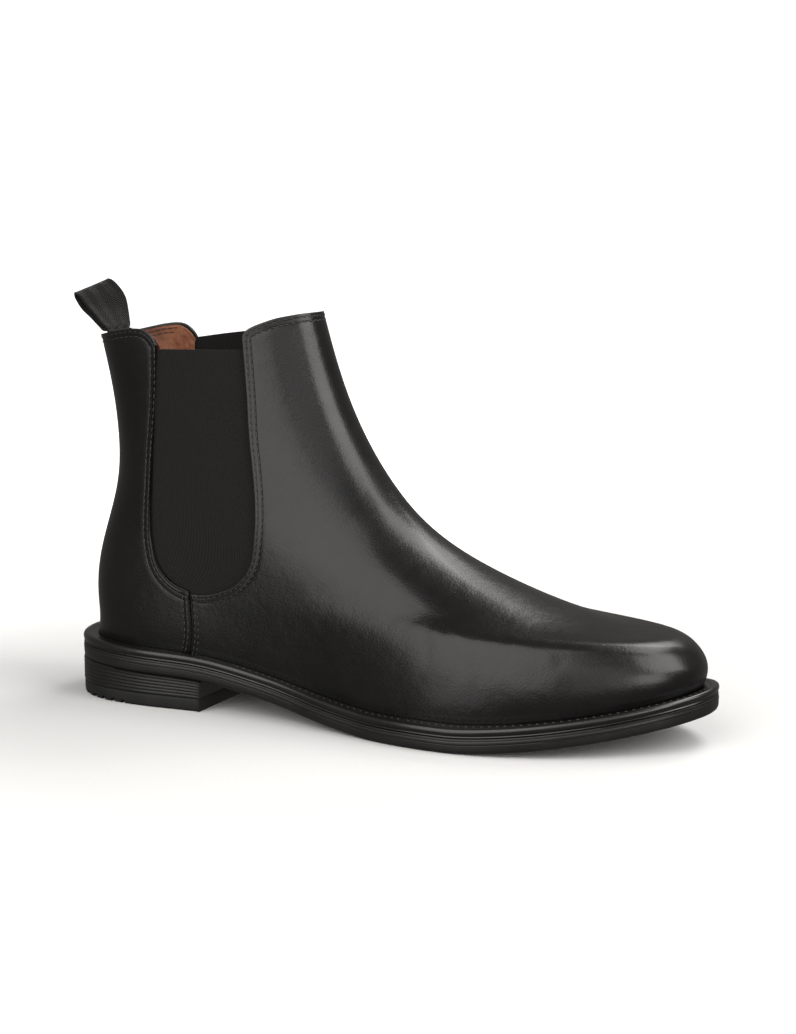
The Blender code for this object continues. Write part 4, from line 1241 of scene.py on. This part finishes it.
# %% Outsole
def build_outsole():
    edge = [
        (2.0, 0.0), (1.2, 0.08), (0.65, 0.4), (0.35, 0.95), (0.2, 1.8), (0.14, 2.9), (0.12, 3.55),
        (0.34, 3.7), (0.36, 3.85), (0.12, 4.0), (0.06, 4.4), (0.06, 5.1), (0.16, 5.5), (0.5, 5.7),
        (0.52, 5.85), (0.2, 6.0), (0.2, 6.4), (0.5, 6.68), (1.0, 6.8),
    ]
    levels = [(inset, over(sole_bottom, rise)) for inset, rise in edge]
    piece = slab_piece("outsole_rubber", sole_loop(300), levels, np.array([150.0, -3.0]))
    finish_piece(piece, "boot", sole_rubber, ["outsole"], smooth=50)


build_outsole()

# %% [markdown]
# ## Heel block and top piece
# The heel is moulded to look like a stack of leather lifts: five shallow lines run
# round the back and fade towards the breast. Under it sits the top piece, with tread
# slots cut across its ground face. They show as notches along the lower edge.

# %% Heel
def heel_loop(per_side):
    """The outline behind the breast, from the back round to the breast on both sides."""
    fine = spline_through(OUTLINE, closed=True)(np.linspace(0, 1, 8001))[:-1]
    half = len(fine) // 2
    sides = []
    for side in (fine[:half], np.vstack([fine[:1], fine[:half - 1:-1]])):
        side = side[: np.argmax(side[:, 0] > HEEL_BREAST_X)]
        run = np.concatenate([[0], np.cumsum(np.linalg.norm(np.diff(side, axis=0), axis=1))])
        even = np.linspace(0, run[-1], per_side)
        sides.append(np.column_stack([np.interp(even, run, side[:, 0]), np.interp(even, run, side[:, 1])]))
    lateral, medial = sides
    lateral[-1, 0] = medial[-1, 0] = HEEL_BREAST_X
    breast = np.linspace(lateral[-1], medial[-1], 22)[1:-1]
    return np.vstack([lateral, breast, medial[:0:-1]])


def heel_slab(name, profile, per_side=80):
    loop = heel_loop(per_side)
    flat_side = loop[:, 0] > HEEL_BREAST_X - 0.01

    def kept_at_breast(inset):
        """The same inset, but only a third as deep on the flat breast."""
        return lambda x: (inset(x) if callable(inset) else inset) * np.where(flat_side, 0.35, 1.0)

    levels = [(kept_at_breast(inset), height) for inset, height in profile]
    return slab_piece(name, loop, levels, np.array([40.0, 0.0]))


def share_height(low, share):
    return lambda x: low + (sole_bottom(x) - CLEARANCE - low) * share


def line_inset(base, depth):
    """Moulded line, deep at the back and fading towards the breast."""
    return lambda x: base + depth * (1 - 0.75 * smooth_step(x, 5, 62))


LIFTS = 6


def build_heel():
    low = TOP_PIECE_THICK + 0.05
    edge, face, groove = line_inset(0.05, 0.10), line_inset(0.0, 0.04), line_inset(0.05, 0.42)
    profile = [(0.75, share_height(low, 0.0)), (0.3, share_height(low, 0.03))]
    for k in range(LIFTS):
        start, end = (k + 0.06) / LIFTS, (k + 0.94) / LIFTS
        profile += [
            (edge, share_height(low, start + 0.02)), (face, share_height(low, (start + end) / 2)),
            (edge, share_height(low, end - 0.02)),
        ]
        if k < LIFTS - 1:
            profile += [(groove, share_height(low, end)), (groove, share_height(low, end + 0.035 / 2))]
    profile += [(0.25, share_height(low, 0.975)), (0.7, share_height(low, 1.03))]
    piece = heel_slab("heel_stack", profile)
    finish_piece(piece, "boot", heel_rubber, ["heel_block"], smooth=50)


build_heel()

# %% Top piece and its tread
TREAD_SLOTS = [(6.2, 2.4), (12.2, 2.0), (18.2, 2.6), (24.2, 2.2), (30.2, 2.4), (36.2, 2.0)]
TREAD_DEPTH = 1.8


def build_top_piece():
    edge = [
        (1.4, 0.0), (0.9, 0.15), (0.5, 0.6), (0.35, 1.2), (0.3, 3.2), (0.3, 5.0), (0.42, 5.6), (0.8, 6.0),
        (1.0, TOP_PIECE_THICK),
    ]
    piece = heel_slab("top_piece_rubber", [(inset, (lambda x, h=height: h)) for inset, height in edge])
    cutters = []
    for x, wide in TREAD_SLOTS:
        cutter = new_primitive(
            "slot_cutter", bpy.ops.mesh.primitive_cube_add, size=1,
            location=placed([x, 0, TREAD_DEPTH - 2.5]), scale=(wide * MM, 0.12, 5 * MM)
        )
        bpy.ops.object.transform_apply(location=True, rotation=False, scale=True)
        cutters.append(cutter)
    for cutter in cutters:
        apply_modifier(piece, "BOOLEAN", object=cutter, operation="DIFFERENCE", solver="EXACT")
        bpy.data.objects.remove(cutter)
    finish_piece(piece, "boot", tread_rubber, ["top_piece"], smooth=35)


build_top_piece()

# %% [markdown]
# ## Welt
# The welt is the rounded band that the upper stands in. Its bead is the glossiest part
# of the boot, with a groove under it. A line of sunk stitches runs on top, beside the
# upper. It is a ring, so it starts as a torus, and each of its sections is moved to the
# right place between the sole's edge and the upper.

# %% Welt
WELT_SECTION = [  # (share of the way from the sole's edge to the upper, inset in mm, rise in mm)
    (0, 1.1, 0.02), (0, 0.45, 0.15), (0, 0.25, 0.5), (0, 0.42, 0.85), (0, 0.62, 1.0), (0, 0.60, 1.15),
    (0, 0.22, 1.4), (0, 0.02, 1.9), (0, -0.05, 2.5), (0, 0.02, 3.1), (0, 0.3, 3.7), (0, 0.8, 4.15),
    (0.25, 0.9, 4.35), (0.45, 0.9, 4.25), (0.55, 0.9, 4.1), (0.75, 0.8, 4.3), (0.95, 0.1, 4.1),
]


def welt_lines(count):
    u = np.arange(count) / count
    fine = spline_through(OUTLINE, closed=True)(np.linspace(0, 1, 4000, endpoint=False))
    foot = last_surface(u, np.zeros(count))[:, :2]
    outer = np.array([fine[np.argmin(((fine - p) ** 2).sum(1))] for p in foot])
    for _ in range(2):
        outer = (np.roll(outer, 1, axis=0) + 2 * outer + np.roll(outer, -1, axis=0)) / 4
    return u, outer


def welt_place(u, outer, share, inset, rise):
    """A loop of the welt's section: between the sole's edge and the wall of the upper."""
    edge = drawn_in(outer, inset)
    v = v_at_height(u, sole_top(edge[:, 0]) + rise)
    wall = last_surface(u, v) + 0.06 * level_normal(u)
    flat = edge * (1 - share) + wall[:, :2] * share
    return np.column_stack([flat, sole_top(flat[:, 0]) + rise])


def build_welt(count=256):
    u, outer = welt_lines(count)
    loops = [welt_place(u, outer, *place) for place in WELT_SECTION]
    for rise in (3.0, 1.6, 0.3):
        wall = last_surface(
            u, v_at_height(u, sole_top(last_surface(u, 0 * u)[:, 0]) + rise)
        ) + 0.06 * level_normal(u)
        loops.append(np.column_stack([wall[:, :2], sole_top(wall[:, 0]) + rise]))
    loops = np.array(loops)
    sections = len(loops)
    piece = new_primitive(
        "welt_band", bpy.ops.mesh.primitive_torus_add, major_segments=count, minor_segments=sections,
        major_radius=1.0, minor_radius=0.25,
    )
    ring = np.array([v.co for v in piece.data.vertices])
    turn = np.round(np.arctan2(ring[:, 1], ring[:, 0]) / (2 * np.pi) * count).astype(int) % count
    radius = np.hypot(ring[:, 0], ring[:, 1]) - 1.0
    section = np.round(np.arctan2(ring[:, 2], radius) / (2 * np.pi) * sections).astype(int) % sections
    move_points(piece, loops[section, turn])
    recalculate(piece)
    finish_piece(piece, "boot", welt_rubber, ["welt"], smooth=50)


build_welt()
WELT_STITCH = one_stitch(1.7, 0.32)


def build_welt_stitches():
    u, outer = welt_lines(600)
    line = welt_place(u, outer, 0.5, 0.9, 4.22)
    line = line[(line[:, 0] > 92)]
    line = np.roll(line, -int(np.argmax(np.linalg.norm(np.diff(line, axis=0), axis=1))) - 1, axis=0)
    up = np.tile([0.0, 0.0, 1.0], (len(line), 1))
    stitched_piece("welt_stitches", [stitch_row(line, up, 3.4, WELT_STITCH)], black_thread)


build_welt_stitches()

# %% [markdown]
# ## Inside: sock and foam
# Looking down into the boot, the foot rests on a thin sock of tan leather over a foam
# footbed. Both are slabs again, dished a little where the heel sits.

# %% Footbed
def feather_loop(inset, count):
    u = np.arange(count) / count
    return (last_surface(u, np.zeros(count)) - inset * level_normal(u))[:, :2]


def dished(rise, depth):
    """Height over the outsole, dipping under the heel and the ball."""
    return lambda x: sole_top(x) + rise - depth * (bell(x - 40, 26) + 0.6 * bell(x - 205, 34))


def build_footbed():
    foam = [
        (1.1, dished(5.72, 0)), (0.3, dished(6.0, 0)), (0.0, dished(7.0, 0)), (0.5, dished(8.5, 0.3)),
        (1.2, dished(8.7, 0.3))
    ]
    piece = slab_piece("footbed", feather_loop(6.0, 140), foam, np.array([140.0, 0.0]))
    finish_piece(piece, "boot", build_foam(), ["footbed_foam"])
    sock = [
        (0.9, dished(8.85, 0.3)), (0.35, dished(9.0, 0.3)), (0.2, dished(9.45, 0.3)),
        (0.45, dished(9.9, 0.3)), (1.1, dished(10.05, 0.3))
    ]
    piece = slab_piece("sock_leather", feather_loop(5.4, 180), sock, np.array([140.0, 0.0]))
    finish_piece(piece, "boot", sock_leather, ["sock_liner"])


# %% [markdown]
# ## Hidden layers
# Between leather and lining, and under the footbed, lie the pieces that hold the
# boot's shape. Their CAD shapes are right as they are, so each keeps its node and gets
# the material of the real thing: cork filler, fibreboard, leatherboard, a
# thermoplastic puff, spring steel and closed-cell foam.

# %% Hidden materials
def build_speckled(name, stops, size, rough_low, rough_high, bump_mm, **constants):
    """Granular stuff: cells of a given size in millimetres, coloured by a ramp."""
    material, tree, shader = new_material(name, **constants)
    place = add_node(tree, "ShaderNodeTexCoord").outputs["Object"]
    cells = add_node(
        tree, "ShaderNodeTexVoronoi", {"feature": "F1"}, {"Scale": per_mm(size)}, {"Vector": place}
    )
    cloud = add_node(
        tree, "ShaderNodeTexNoise", values={"Scale": per_mm(size * 4), "Detail": 5.0},
        links={"Vector": place}
    )
    grey = add_node(tree, "ShaderNodeRGBToBW", links={"Color": cells.outputs["Color"]})
    mixed = add_node(
        tree, "ShaderNodeMath", {"operation": "MULTIPLY_ADD"}, {1: 0.5},
        {0: grey.outputs[0], 2: cloud.outputs["Fac"]},
    )
    halved = add_node(tree, "ShaderNodeMath", {"operation": "MULTIPLY"}, {1: 0.67}, {0: mixed.outputs[0]})
    tree.links.new(ramp(tree, halved.outputs[0], stops), shader.inputs["Base Color"])
    rough = add_node(
        tree, "ShaderNodeMapRange", values={"To Min": rough_low, "To Max": rough_high},
        links={"Value": cloud.outputs["Fac"]},
    )
    tree.links.new(rough.outputs["Result"], shader.inputs["Roughness"])
    bump = add_node(
        tree, "ShaderNodeBump", values={"Strength": 0.6, "Distance": bump_mm * MM},
        links={"Height": cells.outputs["Distance"]},
    )
    tree.links.new(bump.outputs["Normal"], shader.inputs["Normal"])
    return material


def build_foam():
    return build_speckled(
        "closed_cell_eva_foam", [(0.3, "#6f6c66"), (0.7, "#858179")], 0.7, 0.85, 0.95, 0.15, IOR=1.45
    )


build_footbed()

HIDDEN = {
    "bottom_filler": (
        "granulated_cork_filler", [(0.25, "#5d4128"), (0.5, "#8b6846"), (0.75, "#a98560")], 2.2, 0.85, 0.95,
        0.3, {}
    ),
    "insole_board": (
        "pressed_cellulose_fibreboard", [(0.3, "#8c7052"), (0.7, "#a2845f")], 0.8, 0.8, 0.92, 0.08, {}
    ),
    "heel_counter": ("skived_leatherboard", [(0.3, "#9a8464"), (0.7, "#b59c79")], 1.1, 0.75, 0.88, 0.1, {}),
    "toe_puff": (
        "impregnated_thermoplastic_puff", [(0.3, "#aba48f"), (0.7, "#c2bba6")], 0.9, 0.6, 0.75, 0.06,
        {"IOR": 1.5}
    ),
    "shank": (
        "blued_spring_steel", [(0.3, "#6e7076"), (0.7, "#8b8d92")], 0.5, 0.3, 0.42, 0.02, {"Metallic": 1.0}
    ),
}
for node_name, (name, stops, size, low, high, bump_mm, constants) in HIDDEN.items():
    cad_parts[node_name].data.materials.clear()
    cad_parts[node_name].data.materials.append(
        build_speckled(name, stops, size, low, high, bump_mm, **constants)
    )
nail_steel = build_speckled(
    "bright_drawn_nail_steel", [(0.3, "#8d8e90"), (0.7, "#a5a6a8")], 0.4, 0.28, 0.4, 0.02, Metallic=1.0
)
for number in range(1, 6):
    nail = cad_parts[f"heel_nail_{number}"]
    nail.data.materials.clear()
    nail.data.materials.append(nail_steel)
print("hidden nodes given materials:", len(HIDDEN) + 5)

# %% [markdown]
# ## Pull tab
# The tab is a folded loop of black cotton tape, 21 mm wide, woven in herringbone: its
# twill lines reverse every 3.5 mm across the tape. Its two ends are sewn in between
# leather and lining. The loop turns about that fold, so it rides on the CAD body of
# the tab, while the sewn-in root stays with the boot.

# %% Herringbone tape
TAPE_HALF_WIDTH = 10.25
WEAVE_START = 10.5  # moves the herringbone's folds to the selvedges, mm


def build_tape():
    material, tree, shader = new_material(
        "black_herringbone_cotton_tape", IOR=1.5, Specular_IOR_Level=0.2, Sheen_Weight=0.15,
        Sheen_Roughness=0.5,
    )
    along = add_node(tree, "ShaderNodeAttribute", {"attribute_name": "along_mm"}).outputs["Fac"]
    across = add_node(tree, "ShaderNodeAttribute", {"attribute_name": "across_mm"}).outputs["Fac"]
    place = add_node(tree, "ShaderNodeTexCoord").outputs["Object"]
    fold = add_node(tree, "ShaderNodeMath", {"operation": "PINGPONG"}, {1: 3.5}, {0: across})
    slope = add_node(
        tree, "ShaderNodeMath", {"operation": "MULTIPLY_ADD"}, {1: 1.1}, {0: fold.outputs[0], 2: along}
    )
    angle = add_node(
        tree, "ShaderNodeMath", {"operation": "MULTIPLY"}, {1: 2 * math.pi / 1.35}, {0: slope.outputs[0]}
    )
    twill = add_node(tree, "ShaderNodeMath", {"operation": "SINE"}, links={0: angle.outputs[0]})
    fuzz = add_node(
        tree, "ShaderNodeTexNoise", values={"Scale": per_mm(0.7), "Detail": 3.0}, links={"Vector": place}
    )
    mixed = add_node(
        tree, "ShaderNodeMath", {"operation": "MULTIPLY_ADD"}, {1: 0.3}, {
            0: twill.outputs[0], 2: fuzz.outputs["Fac"]
        }
    )
    tree.links.new(
        ramp(tree, mixed.outputs[0], [(0.1, "#0a0909"), (0.55, "#0f0e0d"), (0.95, "#151312")]),
        shader.inputs["Base Color"]
    )
    rough = add_node(
        tree, "ShaderNodeMapRange", values={"To Min": 0.78, "To Max": 0.93},
        links={"Value": fuzz.outputs["Fac"]},
    )
    tree.links.new(rough.outputs["Result"], shader.inputs["Roughness"])
    lines = add_node(
        tree, "ShaderNodeBump", values={"Strength": 0.9, "Distance": 0.16 * MM},
        links={"Height": twill.outputs[0]},
    )
    hairs = add_node(
        tree, "ShaderNodeBump", values={"Strength": 0.5, "Distance": 0.12 * MM},
        links={"Height": fuzz.outputs["Fac"], "Normal": lines.outputs["Normal"]},
    )
    tree.links.new(hairs.outputs["Normal"], shader.inputs["Normal"])
    return material


tape = build_tape()

# %% Loop of tape
TAB_LOOP = [(0, 0), (0.95, 1.0), (1.0, 4), (1.3, 9), (1.9, 15), (2.1, 19.5), (1.6, 22.4), (0, 23.8)]
TAB_LEAN = math.radians(-35)
TAB_TWIST = math.radians(34)  # how far the loop's top has turned round its length
TAB_THICK = 1.3
TAB_BULGE = 3.0  # how far the front selvedge bows out halfway up
LEAN_UP = np.array([math.sin(TAB_LEAN), 0.0, math.cos(TAB_LEAN)])
LEAN_OUT = np.array([math.cos(TAB_LEAN), 0.0, -math.sin(TAB_LEAN)])


def tape_section():
    """Section of the tape, (out, across): flat faces, corded selvedges, round sides."""
    half, thick = TAPE_HALF_WIDTH, TAB_THICK / 2
    top = [(thick * 0.86, -half + 1.6), (thick * 0.84, -half * 0.6), (thick * 0.84, -half * 0.2),
           (thick * 0.84, half * 0.2), (thick * 0.84, half * 0.6), (thick * 0.86, half - 1.6)]
    side = [(thick, half - 0.9), (thick * 0.92, half - 0.3), (thick * 0.45, half), (-thick * 0.45, half),
            (-thick * 0.92, half - 0.3), (-thick, half - 0.9)]
    low = [(-out, across) for out, across in top[::-1]]
    other = [(-out, -across) for out, across in side]
    return np.array(top + side + low + other)


def build_tab(count=120):
    side = spline_through(TAB_LOOP)(np.linspace(0, 1, 400))
    closed = np.vstack([side, side[-2:0:-1] * (-1, 1)])
    run = np.concatenate(
        [[0], np.cumsum(np.linalg.norm(np.diff(np.vstack([closed, closed[:1]]), axis=0), axis=1))]
    )
    even = np.arange(count) / count * run[-1]
    ring = np.vstack([closed, closed[:1]])
    middle = np.column_stack([np.interp(even, run, ring[:, 0]), np.interp(even, run, ring[:, 1])])
    along = unit(np.roll(middle, -1, axis=0) - np.roll(middle, 1, axis=0))
    out = np.column_stack([along[:, 1], -along[:, 0]])
    section = tape_section()
    piece = new_primitive(
        "pull_tab_loop", bpy.ops.mesh.primitive_torus_add, major_segments=count, minor_segments=len(section),
        major_radius=1.0, minor_radius=0.25,
    )
    torus = np.array([v.co for v in piece.data.vertices])
    turn = np.round(np.arctan2(torus[:, 1], torus[:, 0]) / (2 * np.pi) * count).astype(int) % count
    radius = np.hypot(torus[:, 0], torus[:, 1]) - 1.0
    part = np.round(np.arctan2(torus[:, 2], radius) / (2 * np.pi) * len(section)).astype(int) % len(section)
    line = middle[turn] + out[turn] * section[part, :1]
    # the loop narrows a little at its bend and splays at its foot, as soft tape does
    splay = 1 - 0.035 * bell(line[:, 1] - TAB_LOOP[-1][1], 6.0)
    ripple = 0.18 * np.sin(line[:, 1] * 0.45 + section[part, 1] * 0.22) * smooth_step(line[:, 1], 4, 12)
    twist = TAB_TWIST * np.clip(line[:, 1:] / TAB_LOOP[-1][1], 0, 1)
    side_on = np.array([0.0, 1.0, 0.0])
    out_now = np.cos(twist) * LEAN_OUT - np.sin(twist) * side_on
    across_now = np.sin(twist) * LEAN_OUT + np.cos(twist) * side_on
    points = HINGE + (line[:, :1] + ripple[:, None]) * out_now + line[:, 1:] * LEAN_UP
    bulge = TAB_BULGE * np.sin(
        np.pi * np.clip(line[:, 1] / TAB_LOOP[-1][1], 0, 1)
    ) * smooth_step(section[part, 1], 0, 10)
    points += across_now * (section[part, 1] * splay + bulge)[:, None]
    move_points(piece, points)
    recalculate(piece)
    store(piece, "along_mm", even[turn])
    store(piece, "across_mm", section[part, 1] + WEAVE_START)
    finish_piece(piece, "tab", tape, ["pull_tab"], smooth=60)


build_tab()

# %% Sewn-in root of the tape
def build_root(rows=16, columns=26):
    """A folded strip standing between leather and lining, rounded at the fold line."""
    across = np.linspace(-TAPE_HALF_WIDTH, TAPE_HALF_WIDTH, columns)
    up = np.linspace(-9.0, 0.0, rows)
    points = np.zeros((rows, columns, 3))
    points[..., 0] = HINGE[0] + TAB_THICK / 2 - 0.03
    points[..., 1] = across[None, :]
    points[..., 2] = HINGE[2] + up[:, None]
    bend = smooth_step(-up, 0.6, 5.0)[:, None]
    for k in range(columns):
        v = float(top_line(BACK_TOP)(0.0))
        u = across[k] / SHAFT_ROUND
        wall = last_surface(u % 1.0, v) - 1.65 * last_normal(u % 1.0, v)
        points[:, k, 0] = points[:, k, 0] * (1 - bend[:, 0]) + wall[0] * bend[:, 0]
    piece, row, column = grid_piece("pull_tab_root", points[:, ::-1])
    store(piece, "along_mm", up[row])
    store(piece, "across_mm", across[::-1][column] + WEAVE_START)
    give_thickness(piece, 1.25, row, column, 0.4)
    finish_piece(piece, "boot", tape)


build_root()

# %% [markdown]
# ## Floor and background
# The boot stands on a pale paper sweep that curves up all round, so that every view
# ends in an even pale background. Polished leather shows whatever stands around it,
# and a studio puts dark boards round black leather to keep it black. The sweep is
# therefore left out of reflections, and the softboxes alone draw the highlights. It
# glows of itself away from the boot, so that only the ground near the sole is shaded.

# %% Paper sweep
def build_paper():
    material, tree, shader = new_material(
        "matt_white_background_paper", IOR=1.45, Specular_IOR_Level=0.1, Roughness=0.95
    )
    place = add_node(tree, "ShaderNodeTexCoord").outputs["Object"]
    fibre = add_node(
        tree, "ShaderNodeTexNoise", values={"Scale": 900.0, "Detail": 3.0}, links={"Vector": place}
    )
    colour = ramp(tree, fibre.outputs["Fac"], [(0.3, "#f4f4f3"), (0.7, "#f7f7f6")])
    tree.links.new(colour, shader.inputs["Base Color"])
    shader.inputs["Emission Color"].default_value = linear("#fffffe")
    middle = add_node(tree, "ShaderNodeVectorMath", {"operation": "LENGTH"}, links={0: place})
    glow = add_node(
        tree, "ShaderNodeMapRange", {"interpolation_type": "SMOOTHSTEP"},
        {"From Min": 0.14, "From Max": 0.62, "To Min": 0.0, "To Max": 1.0},
        {"Value": middle.outputs["Value"]},
    )
    tree.links.new(glow.outputs["Result"], shader.inputs["Emission Strength"])
    return material


def build_sweep(radius=3.0, curve=1.2, steps=10, wall=3.0):
    sweep = new_primitive(
        "paper_sweep", bpy.ops.mesh.primitive_circle_add, vertices=96, radius=radius, fill_type="NGON",
        location=(0, 0, 0),
    )
    bpy.ops.object.mode_set(mode="EDIT")
    bpy.ops.mesh.select_mode(type="EDGE")
    bpy.ops.mesh.select_all(action="SELECT")
    bpy.ops.mesh.region_to_loop()
    now, height = radius, 0.0
    for k in range(1, steps + 1):
        angle = math.pi / 2 * k / steps
        wide, rise = radius + curve * math.sin(angle), curve * (1 - math.cos(angle))
        bpy.ops.mesh.extrude_edges_move(TRANSFORM_OT_translate={"value": (0, 0, rise - height)})
        bpy.ops.transform.resize(value=(wide / now, wide / now, 1), center_override=(0, 0, rise))
        now, height = wide, rise
    bpy.ops.mesh.extrude_edges_move(TRANSFORM_OT_translate={"value": (0, 0, wall)})
    bpy.ops.object.mode_set(mode="OBJECT")
    bpy.ops.object.shade_smooth()
    sweep.data.materials.append(build_paper())
    sweep.visible_glossy = False
    sweep.visible_diffuse = False
    sweep.visible_shadow = False
    print("sweep faces", len(sweep.data.polygons))


build_sweep()

# %% [markdown]
# ## Studio light
# Each light is a softbox given by the direction that it stands in, as seen from the
# boot, and the angle that it fills. A wide one in front draws the broad band on the
# shaft, and a low one beside it the patch at the ball. Two on the toe side light the
# cap, and two high ones behind the toe draw the narrow line down the instep.

# %% Softboxes
LIGHT_TARGET = Vector((0.0, 0.0, 0.09))


def softbox(name, turn, rise, wide, tall, radiance, distance=2.0):
    """turn: 0 is the lateral side, 90 the toe. wide and tall are the angles it fills."""
    a, e = math.radians(turn), math.radians(rise)
    direction = Vector((math.sin(a) * math.cos(e), -math.cos(a) * math.cos(e), math.sin(e)))
    data = bpy.data.lights.new(name, "AREA")
    data.shape = "RECTANGLE"
    data.size = 2 * distance * math.tan(math.radians(wide) / 2)
    data.size_y = 2 * distance * math.tan(math.radians(tall) / 2)
    data.energy = radiance * math.pi * data.size * data.size_y
    data.color = (1.0, 0.985, 0.97)
    light = bpy.data.objects.new(name, data)
    light.location = LIGHT_TARGET + direction * distance
    light.rotation_euler = direction.to_track_quat("Z", "Y").to_euler()
    light.visible_camera = False
    bpy.context.scene.collection.objects.link(light)
    return light


softbox("front_softbox", -10, 30, 54, 64, 2.0)
softbox("front_low_fill", -20, -10, 22, 16, 1.1)
softbox("toe_softbox", 84, 31, 40, 30, 4.0)
softbox("front_toe_fill", 36, 14, 26, 40, 0.8)
softbox("toe_low_box", 60, 5, 24, 18, 3.6)
softbox("high_back_box", 122, 60, 50, 20, 4.0)
softbox("far_back_box", 165, 48, 20, 26, 3.0)
world = bpy.data.worlds.new("dark_studio")
bpy.context.scene.world = world
world.use_nodes = True
world.node_tree.nodes["Background"].inputs["Color"].default_value = linear("#fffaf6")
world.node_tree.nodes["Background"].inputs["Strength"].default_value = 0.16
bpy.context.scene.view_settings.view_transform = "Standard"

# %% [markdown]
# ## Camera
# A long lens, nine degrees above level and twenty-five degrees round towards the toe,
# so that the boot keeps its proportions.

# %% Camera
CAMERA_TURN = math.radians(24.7807)
CAMERA_PITCH = math.radians(8.9588)
AIM = np.array([150.0, 0.0])
CAMERA_DISTANCE, CAMERA_HEIGHT = 944.69, 239.476
lens_data = bpy.data.cameras.new("studio_camera")
lens_data.lens = 74.05
lens_data.sensor_width = 36.0
lens_data.shift_x = 0.01843
lens_data.shift_y = -0.002015
lens_data.clip_start = 0.05
camera = bpy.data.objects.new("studio_camera", lens_data)
spot = (
    AIM[0] + CAMERA_DISTANCE * math.sin(CAMERA_TURN),
    AIM[1] - CAMERA_DISTANCE * math.cos(CAMERA_TURN),
    CAMERA_HEIGHT,
)
camera.location = placed(spot)
camera.rotation_euler = (math.pi / 2 - CAMERA_PITCH, 0, CAMERA_TURN)
bpy.context.scene.collection.objects.link(camera)
bpy.context.scene.camera = camera
print("camera at, m:", [round(c, 4) for c in camera.location])
